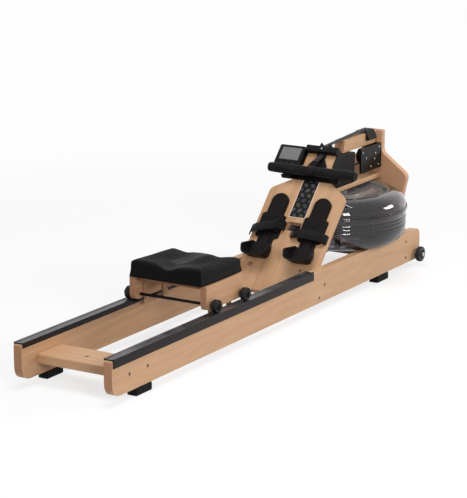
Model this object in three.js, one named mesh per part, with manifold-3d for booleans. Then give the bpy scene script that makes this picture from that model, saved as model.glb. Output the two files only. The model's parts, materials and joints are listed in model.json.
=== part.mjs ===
// Water rowing machine: a wooden frame with two rails, a rolling seat, a sloping
// footboard and a clear water tank whose paddle is turned by a pull strap.
// Millimetres. X runs across (rower's right is +X), Y forward to the tank, Z up.

import * as THREE from 'three';
import { mergeVertices } from 'three/addons/utils/BufferGeometryUtils.js';
import Module from 'manifold-3d';

const wasm = await Module();
wasm.setup();

// General clearances
const seatGap = 0.3; // between pieces that rest on each other
const overrun = 5; // how far a cut runs past the face it opens
const weldTolerance = 0.0005;
const arcSteps = 5;
const roundSides = 16;
const smallSides = 12;
const boltSides = 8;

// Frame
const frameWidth = 358;
const railLength = 2012;
const railHeight = 114;
const railThickness = 29;
const railHeelRound = 45;
const railNoseRound = 32;
const railEdgeRound = 8;
const footHeight = 25;
const railOuter = frameWidth / 2;
const railInner = railOuter - railThickness;
const railTop = footHeight + railHeight;
const boardReach = railInner - seatGap; // half length of a board held between the rails

// Rubber feet
const footLength = 86;
const footWidth = 36;
const rearFootStart = 122;
const footRound = 6;
const frontFootBack = 340; // from the rails' front end
const frontFootStart = railLength - frontFootBack;

// Aluminium tracks
const trackStart = 5;
const trackEndGap = 67; // from the tracks' end to the footboard's face
const trackCover = 5.2;
const trackLip = 2.5;
const trackOuterDrop = 24;
const trackInnerDrop = 12;
const trackGrooveDepth = 1.6;
const trackGrooveWidth = 22;
const trackTop = railTop + seatGap + trackCover;
const trackRunway = trackTop - trackGrooveDepth;

// Cross boards
const rearBoardStart = 75;
const rearBoardWidth = 130;
const rearBoardThickness = 30;
const rearBoardFall = 46; // below the rails' top
const rearBoardTop = railTop - rearBoardFall;
const frontBoardBack = 112; // from the rails' front end
const frontBoardMiddle = railLength - frontBoardBack;
const frontBoardThickness = 30;
const frontBoardRise = 7; // above the rails' underside
const frontBoardBottom = footHeight + frontBoardRise;
const frontBoardFall = 11;
const frontBoardTop = railTop - frontBoardFall;
const boardRound = 5;

// Footboard and the cleat behind it, in the slope's own axes:
// across, up the slope from where the face meets the rails' top, and out of the face
const slopeAngle = THREE.MathUtils.degToRad(46.8);
const slopeFall = 6; // the face's origin lies below the rails' top
const slopeZ = railTop - slopeFall;
const footboardThickness = 24;
const footboardBottom = -110;
const shoulderStart = 300;
const shoulderEnd = 358;
const neckHalf = 59;
const neckTop = 483;
const shoulderRound = 14;
const neckRound = 16;
const handHoleHalf = 29;
const handHoleStart = 138;
const handHoleLength = 48;
const handHoleRound = 7;
const cleatStart = -92;
const cleatWidth = 80;
const cleatThickness = 33;
const inlayHalf = 32;
const inlayStart = 193;
const inlayLength = 150;
const inlayThickness = 1.4;

// Front panel
const panelThickness = 25;
const panelBack = 30; // from the rails' front end
const panelFront = railLength - panelBack;
const panelRear = panelFront - panelThickness;
const panelFloorGap = 5; // above the rails' underside
const panelBottom = footHeight + panelFloorGap;
const panelNeckHalf = 43;
const panelRise = 361; // heights above the rails' top
const panelNeckRise = 281;
const panelShoulderRise = 202;
const panelWaistRise = 114;
const panelTop = railTop + panelRise;
const panelNeckLow = railTop + panelNeckRise;
const panelShoulderHalf = 148;
const panelShoulderZ = railTop + panelShoulderRise;
const panelWaistHalf = 128;
const panelWaistZ = railTop + panelWaistRise;
const panelFootZ = railTop - panelFloorGap;

// Upper beam and lower deck between the footboard's neck and the front panel
const beamHalf = 20;
const beamFall = 1; // below the panel's top
const beamHeight = 44;
const beamRake = 12;
const beamTop = panelTop - beamFall;
const beamBottom = beamTop - beamHeight;
const beamSlotHalf = 15;
const deckHalf = 43;
const deckGap = 2; // above the tank
const deckThickness = 17;

// Water tank; heights are above its underside
const tankRadius = 251;
const tankWall = 4;
const tankFloorRound = 51;
const tankShoulder = 63;
const tankBowlRise = 66;
const tankFlangeRise = 123;
const tankHeight = 185;
const flangeOut = 4.3;
const flangeThickness = 4;
const gasketThickness = 1.6;
const rimWidth = 8;
const rimFall = 7;
const lidFall = 14;
const lidRingShares = [0.82, 0.45]; // moulded rings of the sunken lid
const lidRingHeight = 4;
const lidRingWidth = 9;
const bossRadius = 34;
const bossFall = 5;
const tankSides = 40;
const bowlSteps = 4;
const baffleCount = 6;
const baffleDepth = 14;
const baffleThickness = 4;
const waterFall = 24; // water's surface below the flange
const plugPlaceShares = [-0.56, -0.33]; // from the tank's middle, of the rim's radius
const plugRadius = 15;
const plugLip = 5;
const plugStem = 10;
const panelGap = 0.7; // from the flange to the front panel
const boardGap = 1.5; // from the shoulder to the footboard's back
const tankFloorRadius = tankRadius - tankFloorRound;
const tankRimRadius = tankRadius - tankShoulder;
const tankY = panelRear - panelGap - flangeOut - tankRadius;
const tankBottom = railTop + seatGap;
const tankBowlTop = tankBottom + tankBowlRise;
const flangeZ = tankBottom + tankFlangeRise; // seam between the two shells
const tankTop = tankBottom + tankHeight;
const lidZ = tankTop - lidFall;
const bossTop = tankTop - bossFall;
const waterLevel = flangeZ - waterFall;
const plugX = plugPlaceShares[0] * tankRimRadius;
const plugY = plugPlaceShares[1] * tankRimRadius;
const deckBottom = tankTop + deckGap;
const deckTop = deckBottom + deckThickness;
const beamRear = tankY;

// The footboard stands as close behind the tank's round shoulder as the gap allows
const shoulderLow = flangeZ + flangeThickness;
const shoulderReach = tankRimRadius * Math.sin(slopeAngle) + shoulderLow * Math.cos(slopeAngle)
  + Math.hypot(tankShoulder * Math.sin(slopeAngle), (tankTop - shoulderLow) * Math.cos(slopeAngle));
const slopeBack = shoulderReach - slopeZ * Math.cos(slopeAngle) + footboardThickness + boardGap;
const slopeY = tankY - slopeBack / Math.sin(slopeAngle);

// Paddle and shaft
const shaftRadius = 8;
const shaftFoot = 13; // above the tank's underside
const shaftHeadGap = 9; // below the housing's top
const runningGap = 0.4;
const bladeCount = 6;
const bladeTipGap = 12; // inside the floor's flat
const bladeRise = 27;
const bladeHeight = 58;
const bladeThickness = 4;
const hubRadius = 24;
const pivotRadius = 13;
const pivotHeight = 9;
const bladeReach = tankFloorRadius - bladeTipGap;
const bladeBottom = tankBottom + bladeRise;
const shaftBottom = tankBottom + shaftFoot;
const shaftTop = beamBottom - shaftHeadGap;

// Strap drive
const strapWidth = 26;
const strapThickness = 1.8;
const drumCore = 24;
const drumFlange = 34;
const drumFlangeThickness = 4;
const drumGap = 30; // between the flanges
const runFall = 2; // middle of the strap's lower run below the pulley
const topRollerRadius = 10;
const topRollerBack = 54; // from the front panel
const topRollerY = panelRear - topRollerBack;
const topRollerRise = 1; // above the beam
const topRollerZ = beamTop + topRollerRise;
const lowerPulleyRadius = 22;
const pulleyLipHeight = 4;
const pulleyLipWidth = 2;
const bracketRise = 21; // above the deck
const pulleyRise = 48; // above the bracket's foot
const bracketBottom = deckTop + bracketRise;
const lowerPulleyZ = bracketBottom + pulleyRise;
const runZ = lowerPulleyZ - lowerPulleyRadius - runFall;
const pinRadius = 3.5;
const pinBore = pinRadius + seatGap;
const strapLift = 0.4; // strap clear of a roller
const twistShare = 0.8; // of the lower run, in which the strap turns on edge
const lowerPulleyY = topRollerY + topRollerRadius - lowerPulleyRadius;
const neckRollerRadius = 9;
const neckRollerS = 494;
const rollerHalf = 14;

// Drum housing
const housingHalf = 42;
const housingHeel = 66.5; // from the clamp to the upright rear wall, at the deck
const housingNose = 45; // from the shaft to the front
const housingFront = tankY + housingNose;
const housingRake = 6;
const housingWall = 3;

// Pulley bracket on the front panel
const bracketPlate = 8;
const bracketLeft = 30;
const bracketRight = 42;
const cheekPlate = 7;
const cheekPlateLength = 151;
const bracketArm = 17;
const bracketArmThickness = 5;
const bracketArmHeight = 46;

// Saddle block over the beam
const blockHalfLow = 36;
const blockHalfHigh = 22;
const blockGrip = 25; // down the beam's sides
const blockRise = 9; // above the beam
const blockBottom = beamTop - blockGrip;
const blockTop = beamTop + blockRise;
const blockLength = 62;

// Handle rest, in the slope's axes
const restBarStart = 458;
const restBarWidth = 25;
const restBarProud = 22;
const restStemHalf = 17;
const restFlareHalf = 36;
const restFlareStart = 352;
const restFlareTop = 410;
const restNeckTop = 440;
const restPlate = 5;
const restSlotDepth = 9;
const earThickness = 4.5;
const earReach = 25;
const wingStart = 408;
const wingGap = 0.3;
const wingThickness = 3.4;
const clampBack = 4;
const hookBarHalf = 116;
const hookBarStart = 353;
const hookBarWidth = 15;
const hookWidth = 36;
const hookCentre = 97; // from the middle
const hookDrop = 14;
const hookLip = 7;

// Handle
const handleS = 369.4; // up the slope
const handleN = 27.3; // out of its face
const handleLength = 360;
const handleRadius = 17;
const waistFall = 0.5;
const gripRadius = 18.5;
const capRadius = 15;
const capLength = 12;
const waistHalf = 26;
const gripSides = 20;
const fittingHalf = 16;
const fittingWall = 3;
const fittingTongue = 26;
const tongueHalf = 11;

// Foot plates, straps and heel cups, in the slope's axes
const inlayGap = 8; // from the inlay to each foot plate
const plateLow = 8;
const plateTop = 285;
const plateThickness = 7;
const plateToeHalf = 29;
const plateBallHalf = 45;
const footSpacing = inlayHalf + inlayGap + plateBallHalf; // from the middle to each foot's middle
const plateBallS = 205;
const plateHeelHalf = 38;
const railSlotHalf = 3;
const footStrapStart = 122;
const footStrapWidth = 54;
const footStrapHalf = 58;
const footStrapHeight = 50;
const footStrapThickness = 2.6;
const buckleHalf = 17;
const buckleWidth = 34;
const buckleThickness = 4;
const buckleRound = 4;
const cupStart = 12;
const cupLength = 84;
const cupHeight = 56;
const cupBottomHalf = 38;
const cupTopHalf = 57;
const cupWall = 4;
const cupLean = 14;
const cupFloor = 4;
const cupHeelShare = 0.8; // of the half width, across the heel's straight back
const cupRoundShare = 0.33;
const cupMouthShare = 0.92;
const cupNotchShare = 0.35; // of the length, where the sides start to fall
const cupLevelShares = [0, 0.5, 1];

// Seat
const seatMiddle = 684;
const seatHalfLength = 128;
const seatSideIn = 12.5; // inside the cheeks' outer faces
const seatSkirt = 53;
const seatRimInset = 5;
const seatRise = 79; // above the cheeks' feet
const seatCornerShare = 0.3; // how round the plan's corners are
const seatCells = 18;
// Hollows of the pad: middle across and forward, reach across and forward, and depth,
// in shares of the half width, the half length and the skirt's height
const seatHollowShares = [
  [-0.48, -0.12, 0.34, 0.5, 0.26],
  [0.48, -0.12, 0.34, 0.5, 0.26],
  [-0.5, 1, 0.28, 0.4, 0.16],
  [0.5, 1, 0.28, 0.4, 0.16],
  [0, -0.3, 0.14, 0.75, 0.1],
  [0, -1.05, 0.3, 0.24, 0.2],
];
const seatEdgeShare = 0.07;
const seatEdgePower = 10;
// Levels of the skirt: inset as a share of the rim's, height as a share of the skirt's
const seatSkirtShares = [[0.4, 0.8], [0.6, 0.45], [0, 0]];
const cheekGap = 3.5; // from a cheek to its wheels
const cheekThickness = 27.5;
const cheekRear = 112; // from the seat's middle
const cheekLength = 234;
const cheekClear = 5.5; // above the tracks
const cheekArchShare = 0.36;
const cheekArchRise = 15;
const cheekToeRound = 20;
const seatBoardThickness = 16;
const seatBoardInset = 20;
const wheelRadius = 21;
const wheelWidth = 19;
const wheelMiddle = (railInner + railOuter) / 2;
const wheelHubRadius = 9;
const wheelHubProud = 3;
const wheelChamfer = 2;
const axleRadius = 5;
const axleSpacing = 176;
const axleForward = 6; // ahead of the seat's middle
const axleZ = trackRunway + seatGap + wheelRadius;
const axleMiddle = seatMiddle + axleForward;
const cheekInner = wheelMiddle - wheelWidth / 2 - cheekGap - cheekThickness;
const seatHalfWidth = cheekInner + cheekThickness - seatSideIn;
const cheekStart = seatMiddle - cheekRear;
const cheekBottom = trackTop + cheekClear;
const seatUnderside = cheekBottom + seatRise;
const nutRadius = 7.5;
const nutLength = 6;
const guideDrop = 24;
const guideLength = 30;
const guideSpacing = 110;
const guideThickness = 3.2;
const guideToe = 16;

// Transport wheels
const casterBack = 29; // from the rails' front end
const casterY = railLength - casterBack;
const casterRise = 20; // above the rails' underside
const casterZ = footHeight + casterRise;
const casterRadius = 28;
const casterWidth = 24;
const casterBolt = 6;
const casterHead = 8;
const casterCollar = 11;
const casterHeadLength = 5;
const casterGap = 3;
const casterTreadShare = 0.9; // of the radius
const casterRimShare = 0.72;
const casterRimInnerShare = 0.65;
const casterHubShare = 0.36;
const casterHubTopShare = 0.32;
const casterDish = 3;

// Monitor, in the slope's axes
const monitorX = -116;
const monitorHingeS = 432;
const monitorHingeN = -footboardThickness / 2;
const monitorHalfWidth = 52;
const monitorHalfHeight = 41;
const monitorDepth = 21;
const monitorFaceN = 30; // from the hinge to the face
const monitorRound = 7;
const chinX = 16; // from the housing's middle
const chinHalf = 35;
const chinDrop = 21;
const chinThickness = 8;
const chinRound = 14;
const lensHalfWidth = 40;
const lensHalfHeight = 27;
const lensLift = 6;
const lensThickness = 2;
const lensPocket = 1.2;
const buttonCount = 3;
const buttonRadius = 4;
const buttonSpacing = 22;
const buttonHeight = 5;
const buttonProud = 1.8;
const buttonDrop = 34;
const armRadius = 7;
const lugHalf = 20;
const lugThickness = 8;
const lugRadius = 11;
const lugRound = 9;
const armFlangeRadius = 8.5;
const armFlangeThickness = 3;

// Bolts
const boltHeadRadius = 6.2;
const boltHeadLength = 5;
const boltShankRadius = 3;
const boltLength = 52;
const boltSink = 2;
const rearBoltShares = [0.125, 0.875]; // of the rear board's width
const frontBoltShares = [0.14, 0.77]; // of the front board's height
const cleatBoltShares = [0.13, 0.81]; // of the cleat's width
const cleatDepthShare = 0.6; // of the cleat's thickness
const rearBolts = rearBoltShares.map((share) => (
  [rearBoardStart + share * rearBoardWidth, rearBoardTop - rearBoardThickness / 2]
));
const frontBolts = frontBoltShares.map((share) => (
  [frontBoardMiddle, frontBoardBottom + share * (frontBoardTop - frontBoardBottom)]
));

const finishes = {
  wood: { color: '#c79c72', roughness: 0.45, metalness: 0 },
  woodEnd: { color: '#b98f6b', roughness: 0.5, metalness: 0 },
  track: { color: '#3a3232', roughness: 0.35, metalness: 0.6 },
  rubber: { color: '#141414', roughness: 0.85, metalness: 0 },
  moulding: { color: '#1d1d1e', roughness: 0.5, metalness: 0 },
  steel: { color: '#b8bcc0', roughness: 0.3, metalness: 1 },
  blackSteel: { color: '#1c1a1a', roughness: 0.4, metalness: 0.7 },
  shell: { color: '#8b8790', roughness: 0.1, metalness: 0, transparent: true, opacity: 0.35 },
  water: { color: '#6a6472', roughness: 0.05, metalness: 0, transparent: true, opacity: 0.5 },
  foam: { color: '#222224', roughness: 0.9, metalness: 0 },
  webbing: { color: '#1a1819', roughness: 0.9, metalness: 0 },
  screen: { color: '#757575', roughness: 0.3, metalness: 0 },
  inlay: { color: '#2a2629', roughness: 0.45, metalness: 0 },
};

// Solid building

function faceOut(geometry) {
  const p = geometry.attributes.position;
  const index = geometry.index;
  const a = new THREE.Vector3();
  const b = new THREE.Vector3();
  const c = new THREE.Vector3();
  let volume = 0;
  for (let i = 0; i < index.count; i += 3) {
    a.fromBufferAttribute(p, index.getX(i));
    b.fromBufferAttribute(p, index.getX(i + 1));
    c.fromBufferAttribute(p, index.getX(i + 2));
    volume += a.dot(b.cross(c));
  }
  if (volume < 0) {
    for (let i = 0; i < index.count; i += 3) {
      const first = index.getX(i);
      index.setX(i, index.getX(i + 2));
      index.setX(i + 2, first);
    }
  }
  return geometry;
}

function weld(geometry) {
  const bare = geometry.clone();
  bare.deleteAttribute('normal');
  bare.deleteAttribute('uv');
  return faceOut(mergeVertices(bare, weldTolerance));
}

function solid(geometry) {
  const bare = weld(geometry);
  return new wasm.Manifold(new wasm.Mesh({
    numProp: 3,
    vertProperties: new Float32Array(bare.attributes.position.array),
    triVerts: new Uint32Array(bare.index.array),
  }));
}

function surface(manifold) {
  const { vertProperties, triVerts } = manifold.getMesh();
  const geometry = new THREE.BufferGeometry();
  geometry.setAttribute('position', new THREE.BufferAttribute(new Float32Array(vertProperties), 3));
  geometry.setIndex(new THREE.BufferAttribute(new Uint32Array(triVerts), 1));
  return geometry;
}

function join(...geometries) {
  return surface(geometries.map(solid).reduce((whole, piece) => whole.add(piece)));
}

function cut(geometry, ...tools) {
  return surface(tools.map(solid).reduce((whole, tool) => whole.subtract(tool), solid(geometry)));
}

// A closed outline from corners [x, y, setback]; a corner with a setback is rounded over it.
function outline(corners) {
  const shape = new THREE.Shape();
  corners.forEach(([x, y, setback = 0], i) => {
    const corner = new THREE.Vector2(x, y);
    const [beforeX, beforeY] = corners.at(i - 1);
    const [afterX, afterY] = corners[(i + 1) % corners.length];
    const start = new THREE.Vector2(beforeX - x, beforeY - y).setLength(setback).add(corner);
    const end = new THREE.Vector2(afterX - x, afterY - y).setLength(setback).add(corner);
    if (i === 0) shape.moveTo(start.x, start.y);
    else shape.lineTo(start.x, start.y);
    if (setback > 0) shape.quadraticCurveTo(x, y, end.x, end.y);
  });
  shape.closePath();
  return shape;
}

function rectangle(x0, y0, x1, y1, round = 0) {
  return outline([[x0, y0, round], [x1, y0, round], [x1, y1, round], [x0, y1, round]]);
}

function mirrored(halfOutline) {
  const left = halfOutline.map(([x, ...rest]) => [-x, ...rest]).reverse();
  return outline([...halfOutline, ...left]);
}

function bored(shape, ...circles) {
  for (const [x, y, radius] of circles) {
    shape.holes.push(new THREE.Path().absarc(x, y, radius, 0, 2 * Math.PI, true));
  }
  return shape;
}

function prism(shape, depth) {
  return new THREE.ExtrudeGeometry(shape, { depth, bevelEnabled: false, curveSegments: arcSteps });
}

const axisX = new THREE.Vector3(1, 0, 0);
const axisY = new THREE.Vector3(0, 1, 0);
const axisZ = new THREE.Vector3(0, 0, 1);

// An outline in (Y, Z) run along X from start
function acrossX(shape, start, length) {
  const turn = new THREE.Matrix4().makeBasis(axisY, axisZ, axisX);
  return prism(shape, length).applyMatrix4(turn).translate(start, 0, 0);
}

// An outline in (X, Z) run along Y from start
function alongY(shape, start, length) {
  const turn = new THREE.Matrix4().makeBasis(axisX, axisZ, axisY.clone().negate());
  return prism(shape, length).applyMatrix4(turn).translate(0, start + length, 0);
}

// An outline in (X, Y) run up from start
function upZ(shape, start, length) {
  return prism(shape, length).translate(0, 0, start);
}

function block(x0, y0, z0, x1, y1, z1) {
  return upZ(rectangle(x0, y0, x1, y1), z0, z1 - z0);
}

// Round bars and revolved profiles [radius, height] about the three axes
function turned(profile, sides = roundSides) {
  const points = profile.map(([radius, height]) => new THREE.Vector2(radius, height));
  return weld(new THREE.LatheGeometry(points, sides)).rotateX(Math.PI / 2);
}

function turnedX(profile, sides = roundSides) {
  return turned(profile, sides).rotateY(Math.PI / 2);
}

function bar(radius, start, length, sides = roundSides) {
  return turned([[0, start], [radius, start], [radius, start + length], [0, start + length]], sides);
}

function barX(radius, start, length, sides = roundSides) {
  return bar(radius, start, length, sides).rotateY(Math.PI / 2);
}

function ring(inner, outer, start, length, sides = roundSides) {
  const end = start + length;
  return turned([[inner, start], [outer, start], [outer, end], [inner, end], [inner, start]], sides);
}

// A solid through matching closed sections, each a list of points
function loft(sections) {
  const count = sections[0].length;
  const positions = sections.flat().flatMap((point) => point.toArray());
  const faces = [];
  for (let level = 0; level + 1 < sections.length; level += 1) {
    for (let i = 0; i < count; i += 1) {
      const a = level * count + i;
      const b = level * count + (i + 1) % count;
      faces.push(a, b, b + count, a, b + count, a + count);
    }
  }
  const last = (sections.length - 1) * count;
  const cap = THREE.ShapeUtils.triangulateShape(flatten(sections[0]), []);
  for (const [a, b, c] of cap) {
    faces.push(c, b, a);
    faces.push(last + a, last + b, last + c);
  }
  const geometry = new THREE.BufferGeometry();
  geometry.setAttribute('position', new THREE.Float32BufferAttribute(positions, 3));
  geometry.setIndex(faces);
  return geometry;
}

// A section's points in two axes of its own plane
function flatten(section) {
  const origin = section[0];
  const along = section[1].clone().sub(origin).normalize();
  const normal = new THREE.Vector3();
  section.forEach((point, i) => {
    normal.add(point.clone().cross(section[(i + 1) % section.length]));
  });
  const side = normal.normalize().clone().cross(along);
  return section.map((point) => {
    const offset = point.clone().sub(origin);
    return new THREE.Vector2(offset.dot(along), offset.dot(side));
  });
}

// A flat band along stations { at, across, face }: width lies across, thickness along face
function ribbon(stations, width, thickness) {
  return weld(loft(stations.map(({ at, across, face }) => {
    const w = across.clone().setLength(width / 2);
    const t = face.clone().setLength(thickness / 2);
    return [
      at.clone().sub(w).sub(t),
      at.clone().add(w).sub(t),
      at.clone().add(w).add(t),
      at.clone().sub(w).add(t),
    ];
  })));
}

// The machine and its slope

const machine = new THREE.Group();
machine.position.y = -railLength / 2;
const slope = new THREE.Group();
slope.position.set(0, slopeY, slopeZ);
slope.rotation.x = slopeAngle;
machine.add(slope);

function place(name, geometry, finish, parent = machine) {
  const mesh = new THREE.Mesh(geometry, new THREE.MeshStandardMaterial(finishes[finish]));
  mesh.name = name;
  parent.add(mesh);
  return mesh;
}

// Machine coordinates to the slope's (up the slope, out of its face), and back
function onSlope(y, z) {
  const dy = y - slopeY;
  const dz = z - slopeZ;
  const s = dy * Math.cos(slopeAngle) + dz * Math.sin(slopeAngle);
  const n = dz * Math.cos(slopeAngle) - dy * Math.sin(slopeAngle);
  return [s, n];
}

function offSlope(s, n) {
  const y = slopeY + s * Math.cos(slopeAngle) - n * Math.sin(slopeAngle);
  const z = slopeZ + s * Math.sin(slopeAngle) + n * Math.cos(slopeAngle);
  return [y, z];
}

// Y at a height of a plane that lies behind the footboard's face by a depth
function behindFace(depth, z) {
  const [y0, z0] = offSlope(0, -depth);
  return y0 + (z - z0) / Math.tan(slopeAngle);
}

function backOfBoard(z) {
  return behindFace(footboardThickness, z);
}

const sides = [['left', -1], ['right', 1]];

// A bolt's hole: a counterbore for the head in a rail's outer face, then the shank into a board

function boltHole(side, y, z) {
  const sink = boltSink + boltHeadLength;
  const bore = turned([
    [0, -overrun],
    [boltHeadRadius, -overrun],
    [boltHeadRadius, sink],
    [boltShankRadius, sink],
    [boltShankRadius, boltLength],
    [0, boltLength],
  ], boltSides);
  const turn = side > 0 ? -Math.PI / 2 : Math.PI / 2;
  return bore.rotateY(turn).translate(side * railOuter, y, z);
}

const cleatBoltDepth = footboardThickness + seatGap + cleatDepthShare * cleatThickness;
const cleatBolts = cleatBoltShares.map((share) => (
  offSlope(cleatStart + share * cleatWidth, -cleatBoltDepth)
));
const railBolts = [...rearBolts, ...frontBolts, ...cleatBolts];

function boltHoles(side, places) {
  return places.map(([y, z]) => boltHole(side, y, z));
}

// Rails, tracks and feet

function makeRail(side) {
  const profile = outline([
    [0, footHeight, railHeelRound],
    [railLength, footHeight, railEdgeRound],
    [railLength, railTop, railNoseRound],
    [0, railTop, railEdgeRound],
  ]);
  const start = side > 0 ? railInner : -railOuter;
  const axleHole = [casterY, casterZ, casterBolt + 2 * seatGap];
  const plank = acrossX(bored(profile, axleHole), start, railThickness);
  return cut(plank, ...boltHoles(side, railBolts));
}

function makeTrack(side) {
  const inner = railInner - seatGap;
  const outer = railOuter + seatGap;
  const groove = (inner + outer) / 2 - trackGrooveWidth / 2;
  const profile = [
    [inner - trackLip, railTop - trackInnerDrop],
    [inner - trackLip, trackTop],
    [groove, trackTop],
    [groove + trackGrooveDepth, trackRunway],
    [groove + trackGrooveWidth - trackGrooveDepth, trackRunway],
    [groove + trackGrooveWidth, trackTop],
    [outer + trackLip, trackTop],
    [outer + trackLip, railTop - trackOuterDrop],
    [outer, railTop - trackOuterDrop],
    [outer, railTop + seatGap],
    [inner, railTop + seatGap],
    [inner, railTop - trackInnerDrop],
  ];
  const length = slopeY - trackEndGap - trackStart;
  return alongY(outline(profile.map(([x, z]) => [side * x, z])), trackStart, length);
}

function makeFoot(side, start) {
  const x = (side * (railInner + railOuter)) / 2;
  const plan = rectangle(x - footWidth / 2, start, x + footWidth / 2, start + footLength, footRound);
  return upZ(plan, 0, footHeight - seatGap);
}

for (const [name, side] of sides) {
  place(`rail_${name}`, makeRail(side), 'wood');
  place(`track_${name}`, makeTrack(side), 'track');
  place(`foot_rear_${name}`, makeFoot(side, rearFootStart), 'rubber');
  place(`foot_front_${name}`, makeFoot(side, frontFootStart), 'rubber');
}

// Boards between the rails

function drilledBoard(board, places) {
  return cut(board, ...sides.flatMap(([, side]) => boltHoles(side, places)));
}

function makeRearBoard() {
  const end = rearBoardStart + rearBoardWidth;
  const low = rearBoardTop - rearBoardThickness;
  const profile = rectangle(rearBoardStart, low, end, rearBoardTop, boardRound);
  return drilledBoard(acrossX(profile, -boardReach, 2 * boardReach), rearBolts);
}

function makeFrontBoard() {
  const start = frontBoardMiddle - frontBoardThickness / 2;
  const end = start + frontBoardThickness;
  const profile = rectangle(start, frontBoardBottom, end, frontBoardTop, boardRound);
  return drilledBoard(acrossX(profile, -boardReach, 2 * boardReach), frontBolts);
}

function makeCleat() {
  const front = -footboardThickness - seatGap;
  const corners = [
    offSlope(cleatStart, front),
    offSlope(cleatStart + cleatWidth, front),
    offSlope(cleatStart + cleatWidth, front - cleatThickness),
    offSlope(cleatStart, front - cleatThickness),
  ];
  const board = acrossX(outline(corners), -boardReach, 2 * boardReach);
  return drilledBoard(board, cleatBolts);
}

place('rear_cross_board', makeRearBoard(), 'wood');
place('front_cross_board', makeFrontBoard(), 'wood');
place('footboard_cleat', makeCleat(), 'wood');

// Footboard, with its hand hole and inlay

function makeFootboard() {
  const board = mirrored([
    [boardReach, footboardBottom, boardRound],
    [boardReach, shoulderStart, shoulderRound],
    [neckHalf, shoulderEnd, neckRound],
    [neckHalf, neckTop, boardRound],
  ]);
  const holeEnd = handHoleStart + handHoleLength;
  board.holes.push(rectangle(-handHoleHalf, handHoleStart, handHoleHalf, holeEnd, handHoleRound));
  return upZ(board, -footboardThickness, footboardThickness);
}

function makeInlay() {
  const plan = rectangle(-inlayHalf, inlayStart, inlayHalf, inlayStart + inlayLength, boardRound);
  return upZ(plan, seatGap, inlayThickness);
}

place('footboard', makeFootboard(), 'wood', slope);
place('footboard_inlay', makeInlay(), 'inlay', slope);

// Front panel, upper beam and lower deck

function makePanel() {
  const profile = mirrored([
    [boardReach, panelBottom, boardRound],
    [boardReach, panelFootZ, boardRound],
    [panelWaistHalf, panelFootZ, boardRound],
    [panelWaistHalf, panelWaistZ, neckRound],
    [panelShoulderHalf, panelShoulderZ, neckRound],
    [panelNeckHalf, panelNeckLow, neckRound],
    [panelNeckHalf, panelTop, boardRound],
  ]);
  return alongY(profile, panelRear, panelThickness);
}

function pinHole(y, z, half) {
  return barX(pinBore, -half - overrun, 2 * (half + overrun), smallSides).translate(0, y, z);
}

function makeBeam() {
  const profile = outline([
    [beamRear, beamBottom],
    [panelRear - seatGap, beamBottom],
    [panelRear - seatGap, beamTop],
    [beamRear + beamRake, beamTop],
  ]);
  const slotEnd = topRollerY + topRollerRadius + strapThickness + overrun;
  const slot = block(
    -beamSlotHalf, topRollerY - topRollerRadius - overrun, beamBottom - overrun,
    beamSlotHalf, slotEnd, beamTop + overrun,
  );
  const beam = acrossX(profile, -beamHalf, 2 * beamHalf);
  return cut(beam, slot, pinHole(topRollerY, topRollerZ, beamHalf));
}

function makeDeck() {
  const profile = outline([
    [backOfBoard(deckBottom) + seatGap, deckBottom],
    [panelRear - seatGap, deckBottom],
    [panelRear - seatGap, deckTop],
    [backOfBoard(deckTop) + seatGap, deckTop],
  ]);
  const deck = acrossX(profile, -deckHalf, 2 * deckHalf);
  const height = deckThickness + 2 * overrun;
  const shaftHole = bar(shaftRadius + 2 * overrun, deckBottom - overrun, height).translate(0, tankY, 0);
  return cut(deck, shaftHole);
}

place('front_panel', makePanel(), 'woodEnd');
place('top_beam', makeBeam(), 'wood');
place('lower_deck', makeDeck(), 'wood');

// Water tank: two clear shells, seal, water, filling plug and paddle

function quarter(innerR, innerZ, outerR, outerZ, steps, rising) {
  return Array.from({ length: steps + 1 }, (_, i) => {
    const angle = (i / steps) * (Math.PI / 2);
    const [r, z] = rising
      ? [innerR + (outerR - innerR) * Math.sin(angle), outerZ - (outerZ - innerZ) * Math.cos(angle)]
      : [innerR + (outerR - innerR) * Math.cos(angle), outerZ + (innerZ - outerZ) * Math.sin(angle)];
    return [r, z];
  });
}

function bowlProfile(inset, top) {
  const floor = tankBottom + inset;
  return [
    ...quarter(tankFloorRadius, floor, tankRadius - inset, tankBowlTop, bowlSteps, true),
    [tankRadius - inset, top],
  ];
}

function makeLowerShell() {
  const flange = tankRadius + flangeOut;
  const flangeLow = flangeZ - flangeThickness;
  const shell = turned([
    [0, tankBottom],
    ...bowlProfile(0, flangeLow),
    [flange, flangeLow],
    [flange, flangeZ],
    ...bowlProfile(tankWall, flangeZ).reverse(),
    [0, tankBottom + tankWall],
  ], tankSides);
  const pivotTop = tankBottom + tankWall + pivotHeight;
  const pivotFoot = tankBottom + tankWall / 2;
  const pivot = ring(shaftRadius + runningGap, pivotRadius, pivotFoot, pivotTop - pivotFoot);
  const inner = tankRadius - tankWall / 2;
  const baffles = Array.from({ length: baffleCount }, (_, i) => (
    block(
      inner - baffleDepth, -baffleThickness / 2, tankBowlTop,
      inner, baffleThickness / 2, flangeZ - flangeThickness,
    ).rotateZ((2 * Math.PI * (i + 0.5)) / baffleCount)
  ));
  return join(shell, pivot, ...baffles);
}

function shoulderProfile(inset) {
  const top = tankTop - inset;
  const low = flangeZ + flangeThickness;
  return quarter(tankRimRadius, top, tankRadius - inset, low, bowlSteps, false);
}

function lidProfile() {
  const rings = lidRingShares.flatMap((share) => {
    const crest = share * tankRimRadius;
    return [
      [crest + lidRingWidth / 2, lidZ],
      [crest, lidZ + lidRingHeight],
      [crest - lidRingWidth / 2, lidZ],
    ];
  });
  return [
    [tankRimRadius - rimWidth, tankTop],
    [tankRimRadius - rimWidth - rimFall, lidZ],
    ...rings,
    [bossRadius, lidZ],
    [bossRadius, bossTop],
    [shaftRadius + runningGap, bossTop],
  ];
}

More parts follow.
